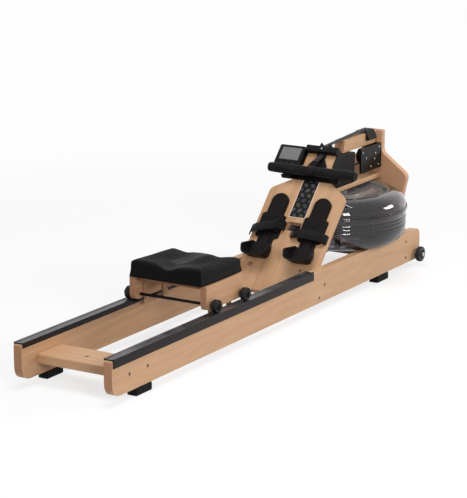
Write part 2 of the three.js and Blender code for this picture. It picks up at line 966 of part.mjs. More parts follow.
function makeUpperShell() {
  const low = flangeZ + gasketThickness + 2 * seatGap;
  const flange = tankRadius + flangeOut;
  const bore = shaftRadius + runningGap;
  const shell = turned([
    [tankRadius - tankWall, low],
    [flange, low],
    [flange, low + flangeThickness],
    [tankRadius, low + flangeThickness],
    ...shoulderProfile(0),
    ...lidProfile(),
    [bore, lidZ - tankWall],
    [tankRimRadius - rimWidth - rimFall, lidZ - tankWall],
    ...shoulderProfile(tankWall).reverse(),
    [tankRadius - tankWall, low],
  ], tankSides);
  const fillLow = lidZ - tankWall - overrun;
  const fill = bar(plugRadius + seatGap, fillLow, tankTop + overrun - fillLow).translate(plugX, plugY, 0);
  return cut(shell, fill);
}

function makeWater() {
  const inset = tankWall + seatGap;
  const sweep = bladeReach + overrun;
  const low = bladeBottom - overrun;
  const high = bladeBottom + bladeHeight + overrun;
  const inner = hubRadius + overrun;
  const baffleEdge = tankRadius - tankWall / 2 - baffleDepth - overrun / 2;
  const bowlTop = tankBowlTop - seatGap;
  return turned([
    [inner, tankBottom + inset],
    ...quarter(tankFloorRadius, tankBottom + inset, tankRadius - inset, bowlTop, bowlSteps, true),
    [baffleEdge, bowlTop],
    [baffleEdge, waterLevel],
    [inner, waterLevel],
    [inner, high],
    [sweep, high],
    [sweep, low],
    [inner, low],
    [inner, tankBottom + inset],
  ], tankSides);
}

function makePaddle() {
  const shaft = bar(shaftRadius, shaftBottom, shaftTop - shaftBottom);
  const hub = bar(hubRadius, bladeBottom - overrun / 2, bladeHeight + overrun);
  const blades = Array.from({ length: bladeCount }, (_, i) => {
    const profile = outline([
      [shaftRadius, bladeBottom],
      [bladeReach, bladeBottom, hubRadius],
      [bladeReach, bladeBottom + bladeHeight, hubRadius / 2],
      [shaftRadius, bladeBottom + bladeHeight],
    ]);
    return alongY(profile, -bladeThickness / 2, bladeThickness).rotateZ((2 * Math.PI * i) / bladeCount);
  });
  return join(shaft, hub, ...blades);
}

function makePlug() {
  return turned([
    [0, lidZ - plugStem],
    [plugRadius, lidZ - plugStem],
    [plugRadius, lidZ + seatGap],
    [plugRadius + plugLip, lidZ + seatGap],
    [plugRadius + plugLip, lidZ + plugLip],
    [plugRadius - plugLip, lidZ + 2 * plugLip],
    [0, lidZ + 2 * plugLip],
  ]).translate(plugX, plugY, 0);
}

const tank = new THREE.Group();
tank.position.y = tankY;
machine.add(tank);
place('tank_lower_shell', makeLowerShell(), 'shell', tank);
place('tank_upper_shell', makeUpperShell(), 'shell', tank);
const sealInner = tankRadius - tankWall;
const sealWidth = tankWall + flangeOut;
const seal = ring(sealInner, sealInner + sealWidth, flangeZ + seatGap, gasketThickness, tankSides);
place('tank_seal', seal, 'rubber', tank);
place('tank_water', makeWater(), 'water', tank);
place('paddle', makePaddle(), 'steel', tank);
place('fill_plug', makePlug(), 'rubber', tank);

// Strap drive: housing, drum, rollers, pulley bracket and saddle block

const housingTop = beamBottom - seatGap;

function makeHousing() {
  const low = deckTop + seatGap;
  const clampDepth = footboardThickness + wingGap + clampBack + seatGap;
  const slant = (z) => behindFace(clampDepth, z);
  const housingRear = slant(low) + housingHeel;
  const cornerZ = low + (housingRear - slant(low)) * Math.tan(slopeAngle);
  const outer = acrossX(outline([
    [housingRear, low],
    [housingFront, low],
    [housingFront + housingRake, housingTop, boardRound],
    [slant(housingTop), housingTop],
    [housingRear, cornerZ],
  ]), -housingHalf, 2 * housingHalf);
  const wall = housingWall;
  const inside = acrossX(outline([
    [housingRear + wall, low - overrun],
    [housingFront - wall, low - overrun],
    [housingFront + housingRake - wall, housingTop - wall],
    [slant(housingTop) + wall, housingTop - wall],
    [housingRear + wall, cornerZ - wall],
  ]), -housingHalf + wall, 2 * (housingHalf - wall));
  const mouthHalf = strapWidth / 2 + 2 * seatGap;
  const mouth = block(
    -mouthHalf, housingFront - 2 * overrun, runZ - mouthHalf,
    drumCore + overrun, housingFront + 2 * overrun, runZ + mouthHalf,
  );
  const bearingLow = shaftTop - 2 * overrun;
  const bearingHeight = housingTop - seatGap - bearingLow;
  const bearing = ring(shaftRadius + runningGap, 2 * shaftRadius, bearingLow, bearingHeight)
    .translate(0, tankY, 0);
  return join(cut(outer, inside, mouth), bearing);
}

function makeDrum() {
  const low = runZ - drumGap / 2;
  const high = runZ + drumGap / 2;
  const bore = shaftRadius + runningGap;
  const foot = deckTop + 2 * seatGap;
  return turned([
    [bore, foot],
    [bore + housingWall, foot],
    [bore + housingWall, low - drumFlangeThickness],
    [drumFlange, low - drumFlangeThickness],
    [drumFlange, low],
    [drumCore, low],
    [drumCore, high],
    [drumFlange, high],
    [drumFlange, high + drumFlangeThickness],
    [bore, high + drumFlangeThickness],
    [bore, foot],
  ]);
}

function makeRoller(radius, lip) {
  const inside = strapWidth / 2 + seatGap;
  const end = inside + (lip > 0 ? pulleyLipWidth : 0);
  const profile = lip > 0
    ? [
      [pinBore, -end], [radius + lip, -end], [radius + lip, -inside], [radius, -inside],
      [radius, inside], [radius + lip, inside], [radius + lip, end], [pinBore, end], [pinBore, -end],
    ]
    : [
      [pinBore, -rollerHalf], [radius, -rollerHalf], [radius, rollerHalf], [pinBore, rollerHalf],
      [pinBore, -rollerHalf],
    ];
  return turnedX(profile);
}

function makePin(half) {
  return barX(pinRadius, -half, 2 * half, smallSides);
}

function makeBracket() {
  const front = panelRear - seatGap;
  const back = block(
    -bracketLeft, front - bracketPlate, bracketBottom,
    bracketRight, front, housingTop,
  );
  const cheekRear = front - bracketPlate - cheekPlateLength;
  const cheek = acrossX(outline([
    [cheekRear, bracketBottom, boardRound],
    [front, bracketBottom],
    [front, housingTop],
    [cheekRear, housingTop, boardRound],
  ]), bracketRight - cheekPlate, cheekPlate);
  const reach = lowerPulleyRadius / 2;
  const arm = acrossX(outline([
    [lowerPulleyY - reach, lowerPulleyZ - bracketArmHeight / 4, boardRound],
    [front - bracketPlate / 2, lowerPulleyZ - bracketArmHeight / 2],
    [front - bracketPlate / 2, lowerPulleyZ + bracketArmHeight / 2],
    [lowerPulleyY - reach, lowerPulleyZ + bracketArmHeight / 4, boardRound],
  ]), -bracketArm - bracketArmThickness, bracketArmThickness);
  const pinStart = -bracketArm - bracketArmThickness;
  const pin = barX(pinRadius, pinStart, bracketRight - pinStart, smallSides)
    .translate(0, lowerPulleyY, lowerPulleyZ);
  return join(back, cheek, arm, pin);
}

function makeSaddle() {
  const profile = outline([
    [-blockHalfLow, blockBottom, boardRound],
    [blockHalfLow, blockBottom, boardRound],
    [blockHalfHigh, blockTop, boardRound],
    [-blockHalfHigh, blockTop, boardRound],
  ]);
  const start = topRollerY - blockLength / 2;
  const body = alongY(profile, start, blockLength);
  const beamWay = block(
    -beamHalf - seatGap, start - overrun, blockBottom - overrun,
    beamHalf + seatGap, start + blockLength + overrun, beamTop + seatGap,
  );
  const rollerWay = block(
    -beamSlotHalf, start - overrun, beamTop - overrun,
    beamSlotHalf, topRollerY + topRollerRadius + 2 * overrun, blockTop + overrun,
  );
  const pin = makePin(blockHalfHigh).translate(0, topRollerY, topRollerZ);
  return join(cut(body, beamWay, rollerWay), pin);
}

const [neckRollerY, neckRollerZ] = offSlope(neckRollerS, -footboardThickness / 2);

place('drum_housing', makeHousing(), 'moulding');
place('drum', makeDrum().translate(0, tankY, 0), 'moulding');
place('pulley_bracket', makeBracket(), 'blackSteel');
place('roller_saddle', makeSaddle(), 'moulding');
place('top_roller', makeRoller(topRollerRadius, 0).translate(0, topRollerY, topRollerZ), 'steel');
const lowerPulley = makeRoller(lowerPulleyRadius, pulleyLipHeight);
place('lower_pulley', lowerPulley.translate(0, lowerPulleyY, lowerPulleyZ), 'moulding');
place('neck_roller', makeRoller(neckRollerRadius, 0).translate(0, neckRollerY, neckRollerZ), 'steel');

// Pull strap: the lead from the handle to the rest, and the run over the rollers to the drum

function strapStation(y, z, angle) {
  return {
    at: new THREE.Vector3(0, y, z),
    across: axisX.clone(),
    face: new THREE.Vector3(0, Math.cos(angle), Math.sin(angle)),
  };
}

function arcStations(y, z, radius, from, to, count) {
  const reach = radius + strapLift + strapThickness / 2;
  return Array.from({ length: count + 1 }, (_, i) => {
    const angle = from + ((to - from) * i) / count;
    return strapStation(y + reach * Math.cos(angle), z + reach * Math.sin(angle), angle);
  });
}

const leadEnd = restBarStart - overrun;
const strapFloor = seatGap + restPlate / 2;
const strapDepth = strapFloor + seatGap + strapThickness / 2;

function makeStrapRun() {
  const outward = slopeAngle + Math.PI / 2;
  const climb = [leadEnd + seatGap, neckTop].map((s) => (
    strapStation(...offSlope(s, strapDepth), outward)
  ));
  const rise = Math.atan2(topRollerZ - neckRollerZ, topRollerY - neckRollerY);
  const overNeck = arcStations(
    neckRollerY, neckRollerZ, neckRollerRadius, outward - slopeAngle / 4, Math.PI / 2 + rise, arcSteps,
  );
  const overTop = arcStations(topRollerY, topRollerZ, topRollerRadius, Math.PI / 2 + rise, 0, arcSteps);
  const underPulley = arcStations(
    lowerPulleyY, lowerPulleyZ, lowerPulleyRadius, 0, -Math.PI / 2, arcSteps + 1,
  );
  const clearOfLip = new THREE.Vector3(0, -lowerPulleyRadius - pulleyLipHeight - overrun, 0);
  const last = underPulley.at(-1).at.clone().add(clearOfLip);
  const target = new THREE.Vector3(drumCore + 2 * strapLift + strapThickness / 2, tankY, runZ);
  const twist = Array.from({ length: 2 * arcSteps + 1 }, (_, i) => {
    const along = i / (2 * arcSteps);
    const angle = Math.min(1, along / twistShare) * (Math.PI / 2);
    return {
      at: last.clone().lerp(target, along),
      across: new THREE.Vector3(Math.cos(angle), 0, Math.sin(angle)),
      face: new THREE.Vector3(Math.sin(angle), 0, -Math.cos(angle)),
    };
  });
  return ribbon([...climb, ...overNeck, ...overTop, ...underPulley, ...twist], strapWidth, strapThickness);
}

const [handleY, handleZ] = offSlope(handleS, handleN);
const tongueEnd = handleS + handleRadius + fittingTongue;

function makeStrapLead() {
  const outward = slopeAngle + Math.PI / 2;
  const stations = [[tongueEnd + seatGap, handleN], [leadEnd, strapDepth]].map(([s, n]) => (
    strapStation(...offSlope(s, n), outward)
  ));
  return ribbon(stations, strapWidth, strapThickness);
}

place('strap_run', makeStrapRun(), 'webbing');
place('strap_lead', makeStrapLead(), 'webbing');

// Handle rest on the neck, with two hooks and the neck roller's ears

function makeRest() {
  const inner = neckHalf + wingGap;
  const outer = inner + wingThickness;
  const behind = -footboardThickness - wingGap;
  const plateFace = seatGap + restPlate;
  const plate = upZ(mirrored([
    [restFlareHalf, restFlareStart, boardRound],
    [restFlareHalf, restFlareTop, boardRound],
    [restStemHalf, restNeckTop, boardRound],
    [restStemHalf, restBarStart + overrun],
  ]), seatGap, restPlate);
  const strapWay = block(
    -beamSlotHalf, restFlareTop, strapFloor,
    beamSlotHalf, neckRollerS + neckRollerRadius, restSlotDepth,
  );
  const crossBar = acrossX(outline([
    [restBarStart, seatGap],
    [restBarStart + restBarWidth, seatGap],
    [restBarStart + restBarWidth, restBarProud, overrun],
    [restBarStart, restBarProud, overrun],
  ]), -outer, 2 * outer);
  const earEnd = neckRollerS + neckRollerRadius;
  const ear = outline([
    [restBarStart, seatGap],
    [neckTop + seatGap, seatGap],
    [neckTop + seatGap, -earReach],
    [earEnd, -earReach, overrun],
    [earEnd, restSlotDepth, overrun],
    [restBarStart, restBarProud / 2],
  ]);
  const ears = [beamSlotHalf, -beamSlotHalf - earThickness].map((x) => acrossX(ear, x, earThickness));
  const shelfZ = handleZ - gripRadius - 2 * seatGap;
  const lipY = handleY - handleRadius / 2;
  const hook = outline([
    onSlope(handleY + handleRadius, shelfZ),
    onSlope(lipY, shelfZ),
    onSlope(lipY - hookLip, shelfZ),
    onSlope(lipY - hookLip, shelfZ - hookDrop / 3),
    onSlope(lipY, shelfZ - hookDrop),
    [hookBarStart, seatGap],
    [hookBarStart + hookBarWidth, seatGap],
    [hookBarStart + hookBarWidth, plateFace],
  ]);
  const hooks = [-hookCentre, hookCentre].map((x) => acrossX(hook, x - hookWidth / 2, hookWidth));
  const hookBar = upZ(
    rectangle(-hookBarHalf, hookBarStart, hookBarHalf, hookBarStart + hookBarWidth, boardRound),
    seatGap, restPlate,
  );
  const clamp = outline([
    [-outer, behind - clampBack],
    [outer, behind - clampBack],
    [outer, plateFace],
    [inner, plateFace],
    [inner, behind],
    [-inner, behind],
    [-inner, plateFace],
    [-outer, plateFace],
  ]);
  // The clamp's outline lies across and out of the slope, so it runs up the slope
  const wings = alongY(clamp, wingStart, neckTop - wingStart);
  const body = cut(join(plate, crossBar, ...ears, hookBar, ...hooks, wings), strapWay);
  const pin = makePin(beamSlotHalf + earThickness).translate(0, neckRollerS, -footboardThickness / 2);
  return join(body, pin);
}

place('handle_rest', makeRest(), 'moulding', slope);

// Handle: foam grip and the fitting that holds the strap

function makeGrip() {
  const half = handleLength / 2;
  const end = half - capLength;
  return turnedX([
    [0, -half],
    [capRadius, -half],
    [handleRadius, -end],
    [gripRadius, -end / 2],
    [handleRadius - waistFall, -waistHalf],
    [handleRadius - waistFall, waistHalf],
    [gripRadius, end / 2],
    [handleRadius, end],
    [capRadius, half],
    [0, half],
  ], gripSides);
}

function makeFitting() {
  const inner = handleRadius - waistFall + seatGap;
  const outer = inner + fittingWall;
  const clip = turnedX([
    [inner, -fittingHalf], [outer, -fittingHalf], [outer, fittingHalf], [inner, fittingHalf],
    [inner, -fittingHalf],
  ], gripSides);
  const tongue = block(
    -tongueHalf, outer - fittingWall / 2, -fittingWall,
    tongueHalf, tongueEnd - handleS, fittingWall,
  );
  return join(clip, tongue.rotateX(slopeAngle));
}

const handle = new THREE.Group();
handle.position.set(0, handleY, handleZ);
machine.add(handle);
place('handle_grip', makeGrip(), 'foam', handle);
place('handle_fitting', makeFitting(), 'blackSteel', handle);

// Foot plates, foot straps, buckles and heel cups

function makeFootPlate() {
  const profile = mirrored([
    [plateHeelHalf, plateLow, boardRound],
    [plateBallHalf, plateBallS, plateBallHalf],
    [plateToeHalf, plateTop, plateToeHalf],
  ]);
  const grooves = [-1, 1].map((side) => {
    const x = side * plateHeelHalf / 2;
    return block(
      x - railSlotHalf, plateLow + overrun, plateThickness / 2,
      x + railSlotHalf, footStrapStart - overrun, plateThickness + overrun,
    );
  });
  return cut(upZ(profile, seatGap, plateThickness - seatGap), ...grooves);
}

function makeFootStrap() {
  const steps = roundSides;
  const middle = footStrapStart + footStrapWidth / 2;
  const stations = Array.from({ length: steps + 1 }, (_, i) => {
    const angle = (Math.PI * i) / steps;
    return {
      at: new THREE.Vector3(
        -footStrapHalf * Math.cos(angle), middle, seatGap + footStrapHeight * Math.sin(angle),
      ),
      across: axisY.clone(),
      face: new THREE.Vector3(
        -Math.cos(angle) * footStrapHeight, 0, Math.sin(angle) * footStrapHalf,
      ),
    };
  });
  return join(ribbon(stations, footStrapWidth, footStrapThickness), makeBuckle());
}

function makeBuckle() {
  const middle = footStrapStart + footStrapWidth / 2;
  const low = footStrapHeight;
  const frame = rectangle(
    -buckleWidth / 2, middle - buckleHalf, buckleWidth / 2, middle + buckleHalf, buckleRound,
  );
  const [slotX, slotY] = [buckleWidth / 4, buckleHalf / 2];
  frame.holes.push(rectangle(-slotX, middle - slotY, slotX, middle + slotY));
  return upZ(frame, low, buckleThickness);
}

function cupSection(share, inset) {
  const half = cupBottomHalf + (cupTopHalf - cupBottomHalf) * share - inset;
  const start = cupStart - cupLean * share + inset;
  const end = cupStart + cupLength + (inset > 0 ? overrun : 0);
  const n = plateThickness + seatGap + share * cupHeight + (inset > 0 ? cupFloor : 0);
  const plan = outline([
    [-cupHeelShare * half, start, cupRoundShare * half],
    [cupHeelShare * half, start, cupRoundShare * half],
    [half, (start + end) / 2, cupRoundShare * half],
    [cupMouthShare * half, end],
    [-cupMouthShare * half, end],
    [-half, (start + end) / 2, cupRoundShare * half],
  ]);
  return plan.getPoints(arcSteps).slice(0, -1).map(({ x, y }) => new THREE.Vector3(x, y, n));
}

function makeHeelCup() {
  const outer = loft(cupLevelShares.map((share) => cupSection(share, 0)));
  const inner = loft(cupLevelShares.map((share) => cupSection(share, cupWall)));
  const high = plateThickness + cupHeight;
  const toeCut = acrossX(outline([
    [cupStart + cupNotchShare * cupLength, high + overrun],
    [cupStart + cupLength + overrun, high + overrun],
    [cupStart + cupLength + overrun, plateThickness + 2 * cupFloor],
  ]), -cupTopHalf - overrun, 2 * (cupTopHalf + overrun));
  return cut(outer, inner, toeCut);
}

for (const [name, side] of sides) {
  const foot = new THREE.Group();
  foot.position.x = side * footSpacing;
  slope.add(foot);
  place(`foot_plate_${name}`, makeFootPlate(), 'moulding', foot);
  place(`foot_strap_${name}`, makeFootStrap(), 'webbing', foot);
  place(`heel_cup_${name}`, makeHeelCup(), 'moulding', foot);
}

// Rolling seat

function makeCheek(side) {
  const end = cheekStart + cheekLength;
  const top = seatUnderside - seatGap;
  const arch = cheekArchShare * cheekLength;
  const profile = outline([
    [cheekStart, top],
    [cheekStart, cheekBottom, cheekToeRound],
    [cheekStart + arch, cheekBottom, cheekToeRound],
    [cheekStart + arch + cheekArchRise, cheekBottom + cheekArchRise, cheekArchRise],
    [end - arch - cheekArchRise, cheekBottom + cheekArchRise, cheekArchRise],
    [end - arch, cheekBottom, cheekToeRound],
    [end, cheekBottom, cheekToeRound],
    [end, top],
  ]);
  const bore = axleRadius + 2 * seatGap;
  const holes = [-1, 1].map((way) => [axleMiddle + (way * axleSpacing) / 2, axleZ, bore]);
  const start = side > 0 ? cheekInner : -cheekInner - cheekThickness;
  return acrossX(bored(profile, ...holes), start, cheekThickness);
}

// Board under the pad, with four guide legs that reach down inside the rails
function makeSeatBoard() {
  const half = cheekInner - seatGap;
  const top = seatUnderside - seatGap;
  const low = cheekBottom - guideDrop;
  const board = block(
    -half, cheekStart + seatBoardInset, top - seatBoardThickness,
    half, cheekStart + cheekLength - seatBoardInset, top,
  );
  const legs = sides.flatMap(([, side]) => [-1, 1].map((way) => {
    const y = axleMiddle + (way * guideSpacing) / 2;
    const leg = outline([
      [side * (half - guideThickness), top - seatBoardThickness / 2],
      [side * (half - guideThickness), low],
      [side * (half + guideToe), low],
      [side * (half + guideToe), low + guideThickness],
      [side * half, low + guideThickness],
      [side * half, top - seatBoardThickness / 2],
    ]);
    return alongY(leg, y - guideLength / 2, guideLength);
  }));
  return join(board, ...legs);
}

// Height of the seat's top over its plan, u across and v forward, each from -1 to 1
function seatHeight(u, v) {
  const hollows = seatHollowShares.reduce((sum, [acrossAt, forwardAt, across, forward, depth]) => (
    sum + depth * Math.exp(-(((u - acrossAt) / across) ** 2) - (((v - forwardAt) / forward) ** 2))
  ), 0);
  const edge = Math.max(Math.abs(u), Math.abs(v)) ** seatEdgePower;
  return seatSkirt * (1 - hollows - seatEdgeShare * edge);
}

function seatPlan(u, v, inset) {
  const x = (seatHalfWidth - inset) * u * Math.sqrt(1 - (seatCornerShare * v * v) / 2);
  const y = (seatHalfLength - inset) * v * Math.sqrt(1 - (seatCornerShare * u * u) / 2);
  return [x, y];
}

function makeSeatPad() {
  const n = seatCells;
  const positions = [];
  const faces = [];
  const at = (i, j) => i * (n + 1) + j;
  for (let i = 0; i <= n; i += 1) {
    for (let j = 0; j <= n; j += 1) {
      const u = (2 * i) / n - 1;
      const v = (2 * j) / n - 1;
      positions.push(...seatPlan(u, v, seatRimInset), seatHeight(u, v));
    }
  }
  for (let i = 0; i < n; i += 1) {
    for (let j = 0; j < n; j += 1) {
      faces.push(at(i, j), at(i + 1, j), at(i + 1, j + 1));
      faces.push(at(i, j), at(i + 1, j + 1), at(i, j + 1));
    }
  }
  const rim = [];
  for (let k = 0; k < n; k += 1) rim.push([k, 0]);
  for (let k = 0; k < n; k += 1) rim.push([n, k]);
  for (let k = 0; k < n; k += 1) rim.push([n - k, n]);
  for (let k = 0; k < n; k += 1) rim.push([0, n - k]);
  let upper = rim.map(([i, j]) => at(i, j));
  for (const [insetShare, heightShare] of seatSkirtShares) {
    const lower = rim.map(([i, j]) => {
      const u = (2 * i) / n - 1;
      const v = (2 * j) / n - 1;
      positions.push(...seatPlan(u, v, insetShare * seatRimInset), heightShare * seatHeight(u, v));
      return positions.length / 3 - 1;
    });
    lower.forEach((low, k) => {
      const next = (k + 1) % lower.length;
      faces.push(upper[k], low, lower[next], upper[k], lower[next], upper[next]);
    });
    upper = lower;
  }
  positions.push(0, 0, 0);
  const centre = positions.length / 3 - 1;
  upper.forEach((corner, k) => faces.push(corner, centre, upper[(k + 1) % upper.length]));
  const geometry = new THREE.BufferGeometry();
  geometry.setAttribute('position', new THREE.Float32BufferAttribute(positions, 3));
  geometry.setIndex(faces);
  return weld(geometry);
}

function makeSeatAxle(way) {
  const half = wheelMiddle + wheelWidth / 2 + wheelHubProud + seatGap;
  return turnedX([
    [0, -half - nutLength],
    [nutRadius, -half - nutLength],
    [nutRadius, -half],
    [axleRadius, -half],
    [axleRadius, half],
    [nutRadius, half],
    [nutRadius, half + nutLength],
    [0, half + nutLength],
  ], smallSides).translate(0, axleMiddle + (way * axleSpacing) / 2, axleZ);
}

function makeSeatWheel() {
  const half = wheelWidth / 2;
  const bore = axleRadius + seatGap;
  const rimEdge = wheelRadius - wheelChamfer;
  return turnedX([
    [bore, -half],
    [rimEdge, -half],
    [wheelRadius, -half + wheelChamfer],
    [wheelRadius, half - wheelChamfer],
    [rimEdge, half],
    [wheelHubRadius, half - wheelChamfer],
    [wheelHubRadius, half + wheelHubProud],
    [bore, half + wheelHubProud],
    [bore, -half],
  ]);
}

const seat = new THREE.Group();
seat.position.set(0, seatMiddle, seatUnderside);
machine.add(seat);
place('seat_pad', makeSeatPad(), 'moulding', seat);
place('seat_board', makeSeatBoard(), 'wood');
place('seat_axle_rear', makeSeatAxle(-1), 'blackSteel');
place('seat_axle_front', makeSeatAxle(1), 'blackSteel');
for (const [name, side] of sides) {
  place(`seat_cheek_${name}`, makeCheek(side), 'wood');
  for (const [end, way] of [['rear', -1], ['front', 1]]) {
    const wheel = makeSeatWheel();
    if (side < 0) wheel.rotateZ(Math.PI);
    wheel.translate(side * wheelMiddle, axleMiddle + (way * axleSpacing) / 2, axleZ);
    place(`seat_wheel_${end}_${name}`, wheel, 'rubber');
  }
}

// Transport wheels on the rails' front ends

function makeCaster() {
  const half = casterWidth / 2;
  const bore = casterBolt + seatGap;
  return turnedX([
    [bore, -half],
    [casterTreadShare * casterRadius, -half],
    [casterRadius, -half / 2],
    [casterRadius, half / 2],
    [casterTreadShare * casterRadius, half],
    [casterRimShare * casterRadius, half],
    [casterRimInnerShare * casterRadius, half - casterDish],
    [casterHubShare * casterRadius, half - casterDish],
    [casterHubTopShare * casterRadius, half],
    [bore, half],
    [bore, -half],
  ], gripSides);
}

const casterX = railOuter + casterGap + casterWidth / 2;

function makeCasterBolt(side) {
  const outside = casterX + casterWidth / 2 + seatGap;
  const bolt = turnedX([
    [0, railInner + seatGap],
    [casterBolt, railInner + seatGap],
    [casterBolt, railOuter + seatGap],
    [casterCollar, railOuter + seatGap],
    [casterCollar, railOuter + casterGap - seatGap],
    [casterBolt, railOuter + casterGap - seatGap],
    [casterBolt, outside],
    [casterHead, outside],
    [casterHead, outside + casterHeadLength],
    [0, outside + casterHeadLength],
  ], smallSides);
  if (side < 0) bolt.rotateZ(Math.PI);
  return bolt.translate(0, casterY, casterZ);
}

for (const [name, side] of sides) {
  const wheel = makeCaster();
  if (side < 0) wheel.rotateZ(Math.PI);
  place(`transport_wheel_${name}`, wheel.translate(side * casterX, casterY, casterZ), 'rubber');
  place(`transport_bolt_${name}`, makeCasterBolt(side), 'steel');
}

// Monitor on its tilting arm

function makeMonitor() {
  const front = monitorFaceN;
  const back = front - monitorDepth;
  const face = rectangle(
    -monitorHalfWidth, -monitorHalfHeight, monitorHalfWidth, monitorHalfHeight, monitorRound,
  );
  const shell = upZ(face, back, monitorDepth);
  const lug = outline([
    [-lugRadius, -lugRadius, lugRound],
    [lugRadius, -lugRadius, lugRound],
    [lugRadius, back + overrun],
    [-lugRadius, back + overrun],
  ]);
  const chin = upZ(outline([
    [chinX - chinHalf, -monitorHalfHeight + monitorRound],
    [chinX - chinHalf, -monitorHalfHeight - chinDrop, chinRound],
    [chinX + chinHalf, -monitorHalfHeight - chinDrop, chinRound],
    [chinX + chinHalf, -monitorHalfHeight + monitorRound],
  ]), back, chinThickness);
  const lugs = [-lugHalf, lugHalf - lugThickness].map((x) => acrossX(lug, x, lugThickness));
  const bore = barX(armRadius + seatGap, -2 * lugHalf, 4 * lugHalf, smallSides);
  const window = block(
    -lensHalfWidth, -lensHalfHeight + lensLift, front - lensPocket - seatGap,
    lensHalfWidth, lensHalfHeight + lensLift, front + overrun,
  );
  const wells = buttonPlaces().map((x) => (
    bar(buttonRadius + seatGap, front - buttonHeight, buttonHeight + overrun, smallSides)
      .translate(x, -buttonDrop, 0)
  ));
  return cut(join(shell, chin, ...lugs), bore, window, ...wells);
}

function buttonPlaces() {
  return Array.from({ length: buttonCount }, (_, i) => (i - (buttonCount - 1) / 2) * buttonSpacing);
}

function makeLens() {
  const low = monitorFaceN - lensPocket;
  return block(
    -lensHalfWidth + seatGap, -lensHalfHeight + lensLift + seatGap, low,
    lensHalfWidth - seatGap, lensHalfHeight + lensLift - seatGap, low + lensThickness,
  );
}

function makeMonitorArm() {
  const far = monitorX - lugHalf - seatGap;
  const near = -neckHalf - wingGap - wingThickness - seatGap;
  const rod = barX(armRadius, far, near - far, smallSides);
  const flange = barX(armFlangeRadius, near - armFlangeThickness, armFlangeThickness, smallSides);
  return join(rod, flange).translate(0, monitorHingeS, monitorHingeN);
}

const monitor = new THREE.Group();
monitor.position.set(monitorX, monitorHingeS, monitorHingeN);
slope.add(monitor);
place('monitor_housing', makeMonitor(), 'moulding', monitor);
place('monitor_lens', makeLens(), 'screen', monitor);
buttonPlaces().forEach((x, i) => {
  const start = monitorFaceN - buttonHeight + buttonProud;
  const cap = bar(buttonRadius, start, buttonHeight, smallSides).translate(x, -buttonDrop, 0);
  place(`monitor_button_${i + 1}`, cap, 'rubber', monitor);
});
place('monitor_arm', makeMonitorArm(), 'blackSteel', slope);

export default machine;
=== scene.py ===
# Looks of a wooden water rowing machine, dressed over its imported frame.
# Metres. X runs across (the rower's right is +X), Y forward to the tank, Z up.

import json
import math

import bmesh
import bpy
from mathutils import Euler, Matrix, Vector


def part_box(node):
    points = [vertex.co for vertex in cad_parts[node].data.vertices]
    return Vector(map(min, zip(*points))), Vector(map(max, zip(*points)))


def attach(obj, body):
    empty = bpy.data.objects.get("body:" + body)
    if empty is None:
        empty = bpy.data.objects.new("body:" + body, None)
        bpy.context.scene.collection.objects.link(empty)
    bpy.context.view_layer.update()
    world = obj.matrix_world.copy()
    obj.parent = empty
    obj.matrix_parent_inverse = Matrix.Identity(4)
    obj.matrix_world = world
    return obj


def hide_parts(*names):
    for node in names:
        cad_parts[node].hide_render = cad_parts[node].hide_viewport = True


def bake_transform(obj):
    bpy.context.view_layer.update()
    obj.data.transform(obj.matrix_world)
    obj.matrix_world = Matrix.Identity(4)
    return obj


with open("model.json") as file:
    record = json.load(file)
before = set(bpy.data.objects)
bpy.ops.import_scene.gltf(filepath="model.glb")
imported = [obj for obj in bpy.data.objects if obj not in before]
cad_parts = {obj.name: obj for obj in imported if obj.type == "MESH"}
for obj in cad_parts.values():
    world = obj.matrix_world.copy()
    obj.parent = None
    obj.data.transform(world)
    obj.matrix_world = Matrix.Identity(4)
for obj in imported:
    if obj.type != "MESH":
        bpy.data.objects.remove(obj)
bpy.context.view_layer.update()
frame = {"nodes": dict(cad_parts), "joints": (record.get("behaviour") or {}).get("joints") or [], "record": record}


# Studio: a pale floor and a plain white surround, with four soft lamps, two of them on the
# rower's right, seen from behind the seat through a long lens, as the photograph is.


def node(tree, kind, inputs=None, **settings):
    """Adds a node; each input is a value, or a socket or Flow that is linked in."""
    made = tree.nodes.new(kind)
    for name, value in settings.items():
        setattr(made, name, value)
    for title, value in (inputs or {}).items():
        value = getattr(value, "socket", value)
        if isinstance(value, bpy.types.NodeSocket):
            tree.links.new(value, made.inputs[title])
        else:
            made.inputs[title].default_value = value
    return made


def linear(red, green, blue):
    """A colour given from 0 to 255 as it looks on a screen."""
    share = [c / 255 for c in (red, green, blue)]
    light = [c / 12.92 if c <= 0.04045 else ((c + 0.055) / 1.055) ** 2.4 for c in share]
    return (*light, 1)


def place(name, mesh):
    made = bpy.data.objects.new(name, mesh)
    bpy.context.scene.collection.objects.link(made)
    return made


picture_height = 498  # pixels
focal_pixels = 2068.5
sensor = 36.0
camera_azimuth = math.radians(31.394)
camera_elevation = math.radians(13.843)
camera_distance = 6.958
camera_aim = Vector((-0.0287, 0.0159, 0.2367))

backward = Vector((
    math.sin(camera_azimuth) * math.cos(camera_elevation),
    -math.cos(camera_azimuth) * math.cos(camera_elevation),
    math.sin(camera_elevation),
))
lens = bpy.data.cameras.new("photo_camera")
lens.sensor_width = sensor
lens.lens = focal_pixels * sensor / picture_height
camera = place("photo_camera", lens)
camera.location = camera_aim + camera_distance * backward
camera.rotation_euler = (-backward).to_track_quat("-Z", "Y").to_euler()

scene = bpy.context.scene
scene.camera = camera
scene.view_settings.view_transform = "Standard"

floor_half = 30.0
floor_albedo = 0.5
floor_white = 0.985
floor_shadow = 0.25  # share of the floor's look near the machine that takes shadow
shadow_reach = (1.5, 3.0)  # from the middle of the floor, where that share fades out

